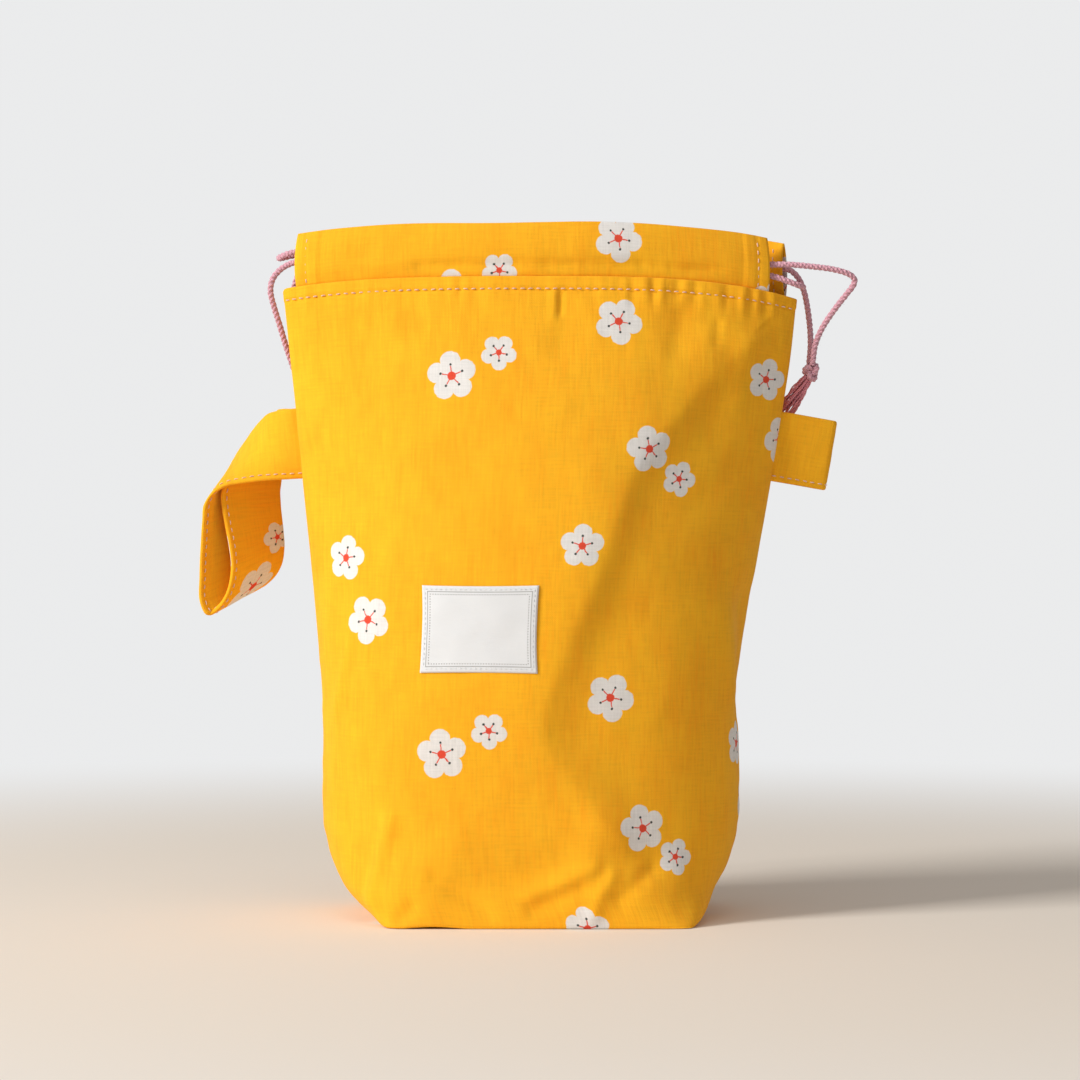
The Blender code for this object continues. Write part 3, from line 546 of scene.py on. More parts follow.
def blossom_masks(finish, x, y, sizes):
    """Where petals, hearts and dots are printed."""
    width, height = sizes.repeat_width * 1000, sizes.repeat_height * 1000
    column = x.math("FLOOR", x / width)
    tile_x = x % width
    tile_y = (y + column * (height / 2) + PRINT_RAISE) % height
    near_x, near_y, radius, turn = tile_x - 500, tile_y, 1.0, 0.0
    nearest = 1e4
    for place_x, place_y, size, angle in BLOSSOMS:
        dx, dy = tile_x - place_x, tile_y - place_y
        apart = (dx * dx + dy * dy) / size**2
        closer = apart < nearest
        near_x, near_y = finish.choose(closer, near_x, dx), finish.choose(closer, near_y, dy)
        radius, turn = finish.choose(closer, radius, size), finish.choose(closer, turn, angle)
        nearest = apart.least(nearest)
    reach = nearest ** 0.5
    angle = reach.math("ARCTAN2", near_y, near_x) + turn
    fold = abs(angle % (math.tau / 5) - math.pi / 5)
    lobe = reach.math("COSINE", fold * 2.5)
    petal = ((lobe ** 0.62) * 0.34 + 0.66 - reach) * radius
    seam = (fold - 0.57) * reach * radius
    petals = petal.edge(0.28) * (1 - seam.edge(0.22) * (reach - 0.30).edge(0.1) * 0.0)
    side = reach.math("SINE", fold) * reach * radius
    up = reach.math("COSINE", fold) * reach
    disc = ((0.17 - reach) * radius).edge(0.22)
    stamen = (0.20 - side).edge(0.18) * ((0.40 - up) * radius).edge(0.22)
    spot = ((up - 0.46) ** 2.0 * radius * radius + side * side) ** 0.5
    dots = (0.42 - spot).edge(0.2)
    return petals, disc.most(stamen), dots


def printed_cotton(cloth, sizes):
    """Slubby plain-woven cotton with white blossoms printed on it."""
    finish = Finish("printed_cotton", 0.86, sheen=0.04)
    x, y = finish.place()
    wander = finish.noise(finish.join(x, y), 0.9, 2.0)
    shift_x, shift_y = x + (wander - 0.5) * 0.5, y + (wander - 0.5) * 0.4
    petals, hearts, dots = blossom_masks(finish, shift_x, shift_y, sizes)
    slub_tone_and_painted_shade, relief = weave_of(finish, x, y, cloth.weave * 1000)
    worn = finish.noise(finish.join(x, y), 0.045, 3.0)
    streaks = finish.noise(finish.join(x * 0.16, y * 0.035), 1.0, 4.0, 0.6)
    dye = ((worn + streaks) * 0.5 - 0.5).edge(0.30)
    ground = finish.mix(dye, cloth.deep, cloth.ground)
    ground = finish.mix(finish.noise(finish.join(x * 0.9, y * 0.07), 1.0), ground, cloth.slub)
    inked = finish.mix(petals * 0.97, ground, sizes.petal)
    inked = finish.mix(hearts * petals, inked, sizes.heart)
    inked = finish.mix(dots * petals, inked, sizes.dot)
    light = slub_tone_and_painted_shade + 1.0
    finish.colour(finish.mix(1.0, inked, finish.join(light, light, light), "MULTIPLY"))
    finish.bump(relief, 0.00014)
    return finish.material


def plain_cotton(name, colour, cloth):
    finish = Finish(name, 0.85, sheen=0.1)
    x, y = finish.place()
    slub_tone_and_painted_shade, relief = weave_of(finish, x, y, cloth.weave * 1000, slub=0.8)
    light = slub_tone_and_painted_shade + 1.0
    finish.colour(finish.mix(1.0, finish.mix(0.0, colour, colour), finish.join(light, light, light), "MULTIPLY"))
    finish.bump(relief, 0.00012)
    return finish.material


def label_tape(cloth):
    """White satin tape with a solid and a dotted line woven in near its edge."""
    finish = Finish("woven_label", 0.42, sheen=0.05)
    x, y = finish.place()
    inner_x = (LABEL_WIDTH * 500) - abs(x)
    inner_y = (LABEL_HEIGHT * 500) - abs(y)
    inside = inner_x.least(inner_y)
    outer = (0.15 - abs(inside - 2.05)).edge(0.12)
    dotted = (0.17 - abs(inside - 2.95)).edge(0.12)
    along = finish.choose(inner_x < inner_y, x, y)
    dashes = (x.math("SINE", along * (math.tau / 0.9)) + 0.1).edge(0.8)
    rib = x.math("SINE", y * (math.tau / 0.30))
    float_x = finish.noise(finish.join(x * 0.3, y * 4.0), 1.0)
    base = finish.mix(float_x * 0.35, cloth.label, [c * 0.86 for c in cloth.label])
    lines = outer.most(dotted * dashes)
    finish.colour(finish.mix(lines * 0.9, base, cloth.border))
    finish.bump(rib * 0.3 + float_x * 0.5, 0.00006)
    return finish.material


def cord_yarn(name, colour, pale):
    """Soft twisted yarn: the fibres wind the other way to the strands."""
    finish = Finish(name, 0.72, sheen=0.3)
    x, y = finish.place()
    wind = x.math("SINE", x * (math.tau / 0.9) + y * (math.tau / 1000))
    fibres = finish.noise(finish.join(x * 1.2 + y * 0.0012, y * 0.006), 1.0, 3.0, 0.7)
    patches = finish.noise(finish.join(x, y * 0.002), 0.35, 2.0)
    base = finish.mix(fibres * 0.8, colour, pale)
    base = finish.mix(patches * 0.30, base, [c * 0.8 for c in colour])
    shade = wind * 0.05 + 1.0
    finish.colour(finish.mix(1.0, base, finish.join(shade, shade, shade), "MULTIPLY"))
    finish.bump(wind * 0.5 + fibres, 0.00016)
    return finish.material


def sewing_thread(thread):
    finish = Finish("sewing_thread", 0.5, sheen=0.1)
    x, y = finish.place()
    ply = x.math("SINE", x * (math.tau / 0.35) + y * (math.tau / 1000))
    # Painted shade: the thread is darker in the grooves between its plies, where the ply bump sinks.
    finish.colour(finish.mix(ply * 0.5 + 0.5, [c * 0.9 for c in thread.colour], thread.colour))
    finish.bump(ply, 0.00004)
    return finish.material


def finish_named(name):
    """The finish of this name, made when it is first asked for."""
    found = bpy.data.materials.get(f"pouch_{name}")
    if found is not None:
        return found
    scene = bpy.context.scene
    makers = {
        "printed_cotton": lambda: printed_cotton(scene.pouch_cloth, scene.pouch_print),
        "lining_cotton": lambda: plain_cotton("lining_cotton", scene.pouch_cloth.lining, scene.pouch_cloth),
        "woven_label": lambda: label_tape(scene.pouch_cloth),
        "pink_cord": lambda: cord_yarn("pink_cord", scene.pouch_cord.colour, scene.pouch_cord.pale),
        # The tassels' finish is the cord's yarn made brighter: painted light for their shade.
        "tassel_yarn_painted_light": lambda: cord_yarn("tassel_yarn_painted_light", scene.pouch_cord.loose, scene.pouch_cord.tassel_pale_painted_light),
        "sewing_thread": lambda: sewing_thread(scene.pouch_thread),
    }
    return makers[name]()


# ---- the bag's form ----


def smooth_step(t):
    t = np.clip(t, 0.0, 1.0)
    return t * t * (3 - 2 * t)


def read_stations(stations, place):
    """The values at this place, on a smooth curve through stations of (place, value, value...)."""
    places = [station[0] for station in stations]
    place = min(max(place, places[0]), places[-1])
    i = min(max(int(np.searchsorted(places, place, side="right")) - 1, 0), len(stations) - 2)
    here, there = stations[i], stations[i + 1]
    before, after = stations[max(i - 1, 0)], stations[min(i + 2, len(stations) - 1)]
    span = there[0] - here[0]
    t = (place - here[0]) / span
    values = []
    for k in range(1, len(here)):
        slope_here = (there[k] - before[k]) / (there[0] - before[0]) * span
        slope_there = (after[k] - here[k]) / (after[0] - here[0]) * span
        rise = there[k] - here[k]
        cubic = slope_here + slope_there - 2 * rise
        values.append(here[k] + t * (slope_here + t * (3 * rise - 2 * slope_here - slope_there + t * cubic)))
    return values


def section_shape(height):
    """Half the width and the two exponents of the bag's horizontal section at this height."""
    if height < BELLY_HEIGHT:
        swell = 1 - (1 - height / BELLY_HEIGHT) ** BELLY_ROUNDING
        half_width = (BASE_WIDTH + (BELLY_WIDTH - BASE_WIDTH) * swell) / 2
        belly = SECTION_STATIONS[0][2:]
        return half_width, [a + (b - a) * swell for a, b in zip(BASE_EXPONENTS, belly)]
    place = (height - BELLY_HEIGHT) / (RIM_HEIGHT - BELLY_HEIGHT)
    widening, *exponents = read_stations(SECTION_STATIONS, place)
    return (BELLY_WIDTH + (RIM_WIDTH - BELLY_WIDTH) * widening) / 2, exponents


@functools.lru_cache(maxsize=None)
def section(height):
    """x, y and distance along the cloth of the front half of the bag's section at this height."""
    half_width, (width_bend, depth_bend) = section_shape(height)
    turn = np.linspace(0, math.pi, SECTION_STEPS + 1)
    across, out = np.cos(turn), np.abs(np.sin(turn))
    x = -np.sign(across) * np.abs(across) ** width_bend * half_width
    unit = -(out ** depth_bend)
    least, most = 0.0, CUT_WIDTH
    for _ in range(SECTION_HALVINGS):
        depth = (least + most) / 2
        steps = np.hypot(np.diff(x), np.diff(unit) * depth)
        least, most = (depth, most) if steps.sum() < CUT_WIDTH else (least, depth)
    return x, unit * depth, np.concatenate(([0.0], np.cumsum(steps)))


def crease_depth(creases, along, height):
    """How far the creases push the cloth out at these places."""
    total = np.zeros(np.broadcast(along, height).shape)
    for start, end, width, depth in creases:
        run = np.subtract(end, start)
        t = ((along - start[0]) * run[0] + (height - start[1]) * run[1]) / (run @ run)
        t = np.clip(t, 0, 1)
        apart = np.hypot(along - start[0] - run[0] * t, height - start[1] - run[1] * t)
        total = total + depth * np.exp(-((apart / width) ** 2))
    return total


@functools.lru_cache(maxsize=None)
def long_fold_run():
    """Points of the long fold, close together, and the way to its right at each."""
    points = smooth_points([(*place, 0.0) for place in LONG_FOLD], 14)[:, :2]
    run = np.gradient(points, axis=0)
    run /= np.linalg.norm(run, axis=1, keepdims=True)
    return points, np.stack([-run[:, 1], run[:, 0]], axis=1)


def long_fold_depth(along, height):
    """How far the long fold pushes the front out at these places, or in where negative."""
    points, rights = long_fold_run()
    places = np.stack(np.broadcast_arrays(along, height), axis=-1).astype(float)
    apart = places[..., None, :] - points
    nearest = np.argmin((apart**2).sum(axis=-1), axis=-1)
    gap = np.take_along_axis(apart, nearest[..., None, None], axis=-2)[..., 0, :]
    side = np.sign((gap * rights[nearest]).sum(axis=-1))
    reach = np.linalg.norm(gap, axis=-1)
    low = smooth_step((0.100 - np.asarray(height)) / 0.03)
    left = FOLD_RISE * np.exp(-((reach / FOLD_LEFT_REACH) ** 2))
    fall = np.exp(-((reach / (FOLD_RIGHT_REACH * (1 + 0.35 * low))) ** (2 - 0.55 * low)))
    right = FOLD_RISE * fall - FOLD_FALL * (1 + 0.5 * low) * (1 - fall) * np.exp(-((reach / FOLD_RECOVERY) ** 2))
    ends = smooth_step((RIM_HEIGHT - 0.006 - height) / 0.02) * smooth_step((height - 0.002) / 0.012)
    sides = smooth_step((CUT_WIDTH / 2 - np.abs(along)) / 0.012)
    return np.where(side > 0, right, left) * ends * sides


def body_lean(height):
    grown = smooth_step(height / LEAN_FOOT)
    faded = smooth_step((height - LEAN_START) / (LEAN_END - LEAN_START))
    return -BODY_LEAN * grown * (1 - faded)


def rim_sag(x):
    drop = np.where(x > 0, RIM_DROP_RIGHT, RIM_DROP_LEFT)
    return drop * np.minimum(np.abs(x) / (RIM_WIDTH / 2), 1.0) ** SAG_SHARPNESS


def section_row(height, along):
    """x, y and outward direction of the front half at this height, at these places along it."""
    x, y, way = section(height)
    place = np.clip(np.asarray(along) + CUT_WIDTH / 2, 0.0, CUT_WIDTH)
    reach = OUTWARD_REACH * CUT_WIDTH
    low, high = np.clip(place - reach, 0, CUT_WIDTH), np.clip(place + reach, 0, CUT_WIDTH)
    run_x = np.interp(high, way, x) - np.interp(low, way, x)
    run_y = np.interp(high, way, y) - np.interp(low, way, y)
    size = np.hypot(run_x, run_y)
    out_x, out_y = run_y / size, -run_x / size
    at_seam = (place <= 0) | (place >= CUT_WIDTH)
    out_x = np.where(at_seam, np.where(place <= 0, -1.0, 1.0), out_x)
    out_y = np.where(at_seam, 0.0, out_y)
    return np.interp(place, way, x), np.interp(place, way, y), out_x, out_y


def cloth_grid(heights, along, back=False, inward=0.0, creased=True, folded=False):
    """Points of the bag at these heights and distances along the cloth, as rows by columns by 3."""
    creases = BACK_CREASES if back else FRONT_CREASES
    folds = BACK_FOLDS if back else FRONT_FOLDS
    along = np.asarray(along, float)
    rows = []
    for i, height in enumerate(heights):
        x, y, out_x, out_y = section_row(float(height), along)
        push = crease_depth(creases, along, height) if creased and height > 0 else 0.0
        if folded:
            push = push + crease_depth(folds, along, height) * smooth_step(height / 0.004)
            if not back:
                push = push + long_fold_depth(along, height)
        push = push - (inward[i] if np.ndim(inward) else inward)
        x, y = x + out_x * push, y + out_y * push
        z = height - rim_sag(x) * (height / RIM_HEIGHT) ** SAG_FADE
        rows.append(np.stack([x + body_lean(height), -y if back else y, z + 0 * x], axis=-1))
    return np.array(rows)


def grid_normals(points, flip=False):
    """Unit normals of a grid of points."""
    across = np.gradient(points, axis=1)
    up = np.gradient(points, axis=0)
    normals = np.cross(across, up)
    normals /= np.maximum(np.linalg.norm(normals, axis=-1, keepdims=True), 1e-12)
    return -normals if flip else normals


def wander(u, v, size, seed):
    """Smooth seeded noise from -1 to 1 over places in metres, with features of this size."""
    u, v = np.broadcast_arrays(u, v)
    flat = [noise.noise(Vector((a / size, b / size, seed * 7.31))) for a, b in zip(u.ravel(), v.ravel())]
    return np.array(flat).reshape(u.shape)


# ---- meshes ----


def mesh_of(name, grids, finish_name, ends=()):
    """One object from grids of (points, coordinates), each rows by columns, with its faces smooth.

    The coordinates go to the map called pattern, in metres of cloth. ends is not used.
    """
    verts, faces, uvs = [], [], []
    start = 0
    for points, places in grids:
        rows, cols = points.shape[:2]
        verts.append(points.reshape(-1, 3))
        index = start + np.arange(rows * cols).reshape(rows, cols)
        quads = np.stack([index[:-1, :-1], index[:-1, 1:], index[1:, 1:], index[1:, :-1]], axis=-1).reshape(-1, 4)
        faces.append(quads)
        uvs.append(places.reshape(-1, 2)[quads - start].reshape(-1, 2))
        start += rows * cols
    verts, faces, uvs = np.concatenate(verts), np.concatenate(faces), np.concatenate(uvs)
    mesh = bpy.data.meshes.new(name)
    mesh.vertices.add(len(verts))
    mesh.vertices.foreach_set("co", verts.astype(np.float32).ravel())
    mesh.loops.add(faces.size)
    mesh.loops.foreach_set("vertex_index", faces.astype(np.int32).ravel())
    mesh.polygons.add(len(faces))
    mesh.polygons.foreach_set("loop_start", np.arange(0, faces.size, 4, dtype=np.int32))
    mesh.update(calc_edges=True)
    layer = mesh.uv_layers.new(name="pattern")
    layer.data.foreach_set("uv", uvs.astype(np.float32).ravel())
    mesh.shade_smooth()
    mesh.validate()
    mesh.materials.append(finish_named(finish_name))
    obj = bpy.data.objects.new(name, mesh)
    bpy.context.scene.collection.objects.link(obj)
    return obj


def weld(obj):
    """Joins the edges of a piece's grids, so that it is one closed skin."""
    joined = bmesh.new()
    joined.from_mesh(obj.data)
    bmesh.ops.remove_doubles(joined, verts=joined.verts, dist=1e-6)
    joined.to_mesh(obj.data)
    joined.free()


def thicken(obj, thickness, offset):
    solidify = obj.modifiers.new("cloth", "SOLIDIFY")
    solidify.thickness = thickness
    solidify.offset = offset
    solidify.use_even_offset = False


def smooth_points(points, per_stretch):
    """Points of a smooth curve through these, this many to each stretch between two of them."""
    points = [np.array(point, float) for point in points]
    ends = [2 * points[0] - points[1]] + points + [2 * points[-1] - points[-2]]
    made = []
    for i in range(len(points) - 1):
        p0, p1, p2, p3 = ends[i : i + 4]
        t1 = math.sqrt(max(np.linalg.norm(p1 - p0), 1e-6))
        t2 = t1 + math.sqrt(max(np.linalg.norm(p2 - p1), 1e-6))
        t3 = t2 + math.sqrt(max(np.linalg.norm(p3 - p2), 1e-6))
        for k in range(per_stretch):
            t = t1 + (t2 - t1) * k / per_stretch
            a1 = p0 * (t1 - t) / t1 + p1 * t / t1
            a2 = p1 * (t2 - t) / (t2 - t1) + p2 * (t - t1) / (t2 - t1)
            a3 = p2 * (t3 - t) / (t3 - t2) + p3 * (t - t2) / (t3 - t2)
            b1 = a1 * (t2 - t) / t2 + a2 * t / t2
            b2 = a2 * (t3 - t) / (t3 - t1) + a3 * (t - t1) / (t3 - t1)
            made.append(b1 * (t2 - t) / (t2 - t1) + b2 * (t - t1) / (t2 - t1))
    return np.array(made + [points[-1]])


def along_run(points):
    return np.concatenate(([0.0], np.cumsum(np.linalg.norm(np.diff(points, axis=0), axis=1))))


def spaced_evenly(points, step):
    """The same run with its points this far apart, and the distance to each."""
    way = along_run(points)
    places = np.linspace(0, way[-1], max(round(way[-1] / step), 2) + 1)
    return np.stack([np.interp(places, way, points[:, k]) for k in range(3)], axis=1), places


def carried_frames(points):
    """Two directions square to the run at each point, carried along it without twisting."""
    tangents = np.gradient(points, axis=0)
    tangents /= np.linalg.norm(tangents, axis=1, keepdims=True)
    side = np.cross(tangents[0], (0.0, 1.0, 0.0))
    if np.linalg.norm(side) < 1e-3:
        side = np.cross(tangents[0], (1.0, 0.0, 0.0))
    sides = []
    for tangent in tangents:
        side = side - tangent * (side @ tangent)
        side /= np.linalg.norm(side)
        sides.append(side)
    sides = np.array(sides)
    return sides, np.cross(tangents, sides)


def tube_grid(centres, sides, ups, radii, around, start=0.0):
    """A tube round these centres as a grid, with coordinates of (distance, turn)."""
    turn = np.linspace(0, math.tau, around + 1)
    ring = sides[:, None] * np.cos(turn)[None, :, None] + ups[:, None] * np.sin(turn)[None, :, None]
    points = centres[:, None] + ring * np.broadcast_to(radii, len(centres))[:, None, None]
    way = along_run(centres) + start
    places = np.stack(np.broadcast_arrays(way[:, None], turn[None] / math.tau), axis=-1)
    return points[:, ::-1], places[:, ::-1]


def tapered(count, radius, share=0.25):
    """Radii of a stitch or yarn that closes at both ends."""
    t = np.linspace(0, 1, count)
    return radius * np.clip(np.minimum(t, 1 - t) / share, 0.02, 1.0) ** 0.5


# ---- pieces ----


def seam_blend(along, points, seams):
    """What brings a back panel's edges to the seams of the front, fading away from them."""
    near = np.exp(-(((CUT_WIDTH / 2 - np.abs(along)) / 0.006) ** 2))[None, :, None]
    gap = np.where((along < 0)[None, :, None], seams[:, :1] - points[:, :1], seams[:, 1:] - points[:, -1:])
    return gap * near


def build_outer_bag(cloth):
    """The bag's outside with its hem, seams and folds, and its flat base."""
    half = CUT_WIDTH / 2
    along = np.linspace(-half, half, 221)
    heights = np.concatenate([
        (0.0, 0.0003, 0.0007, 0.0013),
        np.linspace(0.0022, 0.2000, 134)[:-1],
        np.linspace(0.2000, RIM_HEIGHT, 37),
    ])
    foot = 0.0006 * np.clip(1 - heights / 0.0012, 0, 1) ** 2
    grids, seams = [], None
    for back in (False, True):
        points = cloth_grid(heights, along, back, inward=foot, folded=True)
        a, h = np.meshgrid(along, heights)
        seed = 2 if back else 1
        calm = smooth_step((half - np.abs(a)) / 0.006) * smooth_step(h / 0.006)
        soft = wander(a, h, 0.030, seed) * cloth.unevenness + wander(a, h, 0.011, seed + 5) * cloth.unevenness * 0.28
        soft = soft + wander(a * 2.4, h, 0.010, seed + 9) * 0.00010 * smooth_step((h - 0.16) / 0.04)
        soft = soft + wander(a, h * 0.8, 0.0058, seed + 16) * 0.00011
        below = RIM_HEIGHT - h
        hem = 0.00028 * smooth_step((cloth.hem + 0.0003 - below) / 0.0006)
        line = -0.00034 * np.exp(-(((below - cloth.hem) / 0.0006) ** 2))
        drawn = wander(a, h * 0.10, 0.0030, seed + 3) * 0.00120 * np.exp(-((below - cloth.hem) / 0.0055) ** 2)
        strength = 0.30 + 0.70 * smooth_step((a - 0.022) / 0.02) * smooth_step((0.086 - a) / 0.01)
        beside = np.exp(-(((half - np.abs(a)) / 0.007) ** 2)) * (half - np.abs(a)) / 0.004
        seam = wander(h, a * 0.25, 0.0052, seed + 4) * 0.00050 * beside
        depth = (soft + drawn * strength + seam) * calm + (hem + line) * smooth_step((half - np.abs(a)) / 0.0012)
        points = points + grid_normals(points, flip=back) * depth[..., None]
        lifted = FOOT_LIFT * np.clip(wander(a, 0 * a, 0.018, seed + 14) + 0.1, 0, 1) * smooth_step((half - np.abs(a)) / 0.02)
        points[..., 2] += lifted * np.exp(-h / 0.004)
        groove = 0.00055 * np.exp(-(((half - np.abs(a)) / 0.0011) ** 2))
        points[..., 0] -= np.sign(a) * groove * smooth_step(h / 0.004)
        corner = 0.0013 * np.exp(-(((half + a) / 0.0016) ** 2)) * smooth_step((h - 0.205) / 0.0154)
        points[..., 2] -= corner
        if back:
            points = points + seam_blend(along, points, seams)
        seams = points[:, [0, -1]]
        turned = cloth_grid(RIM_HEIGHT - np.array((0.0, 0.0012, 0.0060)), along, back, inward=0.00072)
        rim, inner = points[-1], turned[0]
        roll = [
            rim * 0.9 + inner * 0.1 + (0, 0, 0.00024),
            rim * 0.6 + inner * 0.4 + (0, 0, 0.00036),
            rim * 0.25 + inner * 0.75 + (0, 0, 0.00026),
            inner,
            *turned[1:],
        ]
        points = np.concatenate([points, np.array(roll)])
        v = np.concatenate([heights, RIM_HEIGHT + np.array((0.0003, 0.0006, 0.0009, 0.0012, 0.0025, 0.0072))])
        a, v = np.meshgrid(along, v)
        if back:
            points, a, v = points[:, ::-1], a[:, ::-1], -BASE_DEPTH - v[:, ::-1]
        grids.append((points, np.stack([a, v], axis=-1)))
    front, rear = grids[0][0][0], grids[1][0][0]
    outline = np.concatenate([front, rear[1:]])
    rings = []
    for share in np.linspace(0, 1, 8):
        ring = outline.copy()
        ring[:, :2] = outline[:, :2] * (1 - share)
        ring[:, 2] = outline[:, 2] * (1 - share) ** 6
        rings.append(ring)
    rings = np.array(rings)[::-1]
    grids.append((rings, np.stack([rings[..., 0], -rings[..., 1] - BASE_DEPTH / 2], axis=-1)))
    bag = mesh_of("outer_bag_cloth", grids, "printed_cotton")
    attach(bag, "root")
    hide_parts("outer_bag")
    return bag


def tail_thickness():
    return 2 * CHANNEL_CLOTH + CHANNEL_SLIT


def build_lining():
    """The plain lining, which stands clear of the bag's outside below the rim."""
    reach = CUT_WIDTH / 2 - SEAM_ALLOWANCE
    foot = SHELL_THICKNESS + SEAM_GAP
    along = np.linspace(-reach, reach, 111)
    heights = foot + (RIM_HEIGHT - LINING_DROP - foot) * np.linspace(0, 1, 100) ** 1.35
    ease = LINING_EASE * smooth_step((RIM_HEIGHT - CHANNEL_TAIL - heights) / LINING_EASE_REACH)
    inset = SHELL_THICKNESS + SEAM_GAP + tail_thickness() + SEAM_GAP + ease
    a, h = np.meshgrid(along, heights)
    grids = []
    for back in (False, True):
        points = cloth_grid(heights, along, back, inward=inset, creased=False)
        calm = smooth_step((reach - np.abs(a)) / 0.006) * smooth_step((h - foot) / 0.01) * smooth_step((RIM_HEIGHT - h) / 0.02)
        depth = (wander(a, h, 0.022, 21 + back) * 0.0006 - 0.0003) * calm
        points = points + grid_normals(points, flip=back) * depth[..., None]
        points[0, :, 2] = foot
        places = np.stack([a, h], axis=-1)
        if back:
            points, places = points[:, ::-1], places[:, ::-1]
        grids.append((points, places))
    ends = [(grids[0][0][:, -1], grids[1][0][:, 0]), (grids[1][0][:, -1], grids[0][0][:, 0])]
    for first, second in ends:
        strip = np.stack([first + (second - first) * t for t in (0.0, 0.5, 1.0)], axis=1)
        places = np.stack(np.broadcast_arrays(np.linspace(0, 0.01, 3)[None], heights[:, None]), axis=-1)
        grids.append((strip, places))
    outline = np.concatenate([grids[0][0][0], grids[1][0][0], grids[0][0][0][:1]])
    rings = np.array([np.column_stack([outline[:, :2] * (1 - s), np.full(len(outline), foot)]) for s in np.linspace(0, 1, 8)])[::-1]
    grids.append((rings, rings[..., :2].copy()))
    lining = mesh_of("lining_cloth", grids, "lining_cotton")
    thicken(lining, LINING_THICKNESS, -1)
    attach(lining, "root")
    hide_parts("lining")
    return lining


def channel_points(along, back, across, rise):
    """Places on a channel: along the rim, across its thickness towards the mouth, and up from the rim."""
    inset = SHELL_THICKNESS + SEAM_GAP + tail_thickness() / 2
    lean = CHANNEL_LEAN * max(rise, 0.0) / CHANNEL_RISE
    height = RIM_HEIGHT + min(rise, 0.0)
    x, y, out_x, out_y = section_row(height, along)
    push = crease_depth(BACK_CREASES if back else FRONT_CREASES, along, height) - inset - across - lean
    x, y = x + out_x * push, y + out_y * push
    z = RIM_HEIGHT - rim_sag(x) + rise
    return np.stack([x, -y if back else y, z], axis=-1)


def build_channel(name, node, middle, back):
    """One drawstring channel: a strip folded along its top, with turned-in ends."""
    slit = (CHANNEL_CLOTH + CHANNEL_SLIT) / 2
    climbs = np.linspace(0, 1, 34)
    wall = [(slit, -CHANNEL_TAIL), (slit, -CHANNEL_TAIL / 2)]
    wall += [(slit + CHANNEL_BULGE * max(math.sin(math.pi * c), 0.0) ** CHANNEL_FULLNESS, c * (CHANNEL_RISE - slit)) for c in climbs]
    top = [(slit * math.cos(t), CHANNEL_RISE - slit + slit * math.sin(t)) for t in np.linspace(0.3, math.pi - 0.3, 5)]
    profile = [(-across, rise) for across, rise in wall] + [(-across, rise) for across, rise in top]
    profile += [(across, rise) for across, rise in wall[::-1]]
    along = middle + np.linspace(-CHANNEL_LENGTH / 2, CHANNEL_LENGTH / 2, 200)
    from_end = CHANNEL_LENGTH / 2 - np.abs(along - middle)
    hem = 0.00032 * smooth_step((0.0092 - from_end) / 0.0008) - 0.00030 * np.exp(-(((from_end - 0.0041) / 0.0006) ** 2))
    rows, places = [], []
    distance = 0.0
    previous = profile[0]
    seed = 33 if back else 31
    for across, rise in profile:
        distance += math.dist((across, rise), previous)
        previous = (across, rise)
        outer = across < 0
        climb = min(max(rise / CHANNEL_RISE, 0.0), 1.0)
        loose = math.sin(math.pi * min(climb * 1.0, 1.0)) if rise > 0 else 0.0
        ripple = wander(along, np.full(len(along), rise * 0.35), 0.0062, seed + (0 if outer else 7)) * 0.00032
        slow = wander(along, np.full(len(along), rise), 0.028, seed + (2 if outer else 9)) * 0.0006
        full = 0.00055 * math.exp(-(((rise - 0.0046) / 0.0026) ** 2)) * (0.6 + wander(along, 0 * along, 0.016, seed + 5))
        level = 0.0046 + wander(along, 0 * along, 0.014, seed + 11) * 0.0007
        reach = smooth_step((along + 0.050) / 0.012) * smooth_step((0.068 - along) / 0.010)
        valley = -0.00080 * np.exp(-(((rise - level) / 0.0020) ** 2)) * reach
        valley = valley * (1 + 0.35 * wander(along, 0 * along, 0.0035, seed + 12))
        swell = (ripple * (1 - climb) ** 0.6 + slow + full) * loose + (valley if outer else 0.0)
        swell = swell + (hem if climb > 0.02 else 0.0) * (1.0 if outer else 0.5)
        shift = swell if outer else -swell
        points = channel_points(along, back, across, rise)
        outward = np.stack([0 * along, np.full(len(along), 1.0 if back else -1.0), 0 * along], axis=-1)
        points = points + outward * shift[:, None] if np.ndim(shift) else points + outward * shift
        wave = wander(along, 0 * along, 0.035, seed + 4) * 0.0005 * climb
        points[:, 2] += wave
        rows.append(points)
        places.append(np.stack([along, np.full(len(along), 0.060 + distance)], axis=-1))
    points, places = np.array(rows), np.array(places)
    if back:
        points, places = points[:, ::-1], places[:, ::-1] + np.array((0.031, 0.052))
    channel = mesh_of(name, [(points, places)], "printed_cotton")
    thicken(channel, CHANNEL_CLOTH, 0)
    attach(channel, "root")
    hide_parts(node)
    return channel


def seam_frame(height, right):
    """Where a strap sewn in at this height has its lower edge, the way up that side seam, and the way out."""
    half = CUT_WIDTH / 2 if right else -CUT_WIDTH / 2
    reach = STRAP_WIDTH / 2
    seam = cloth_grid([height + reach * k / 4 for k in range(-4, 5)], [half])[:, 0]
    low, high = seam[0], seam[-1]
    up = (high - low) / np.linalg.norm(high - low)
    out = np.cross(up, (0.0, 1.0, 0.0)) * (-1 if right else 1)
    middle = (low + high) / 2
    bow = max((seam - middle) @ out)
    return middle + out * (bow + SEAT_GAP) - up * reach, up, out


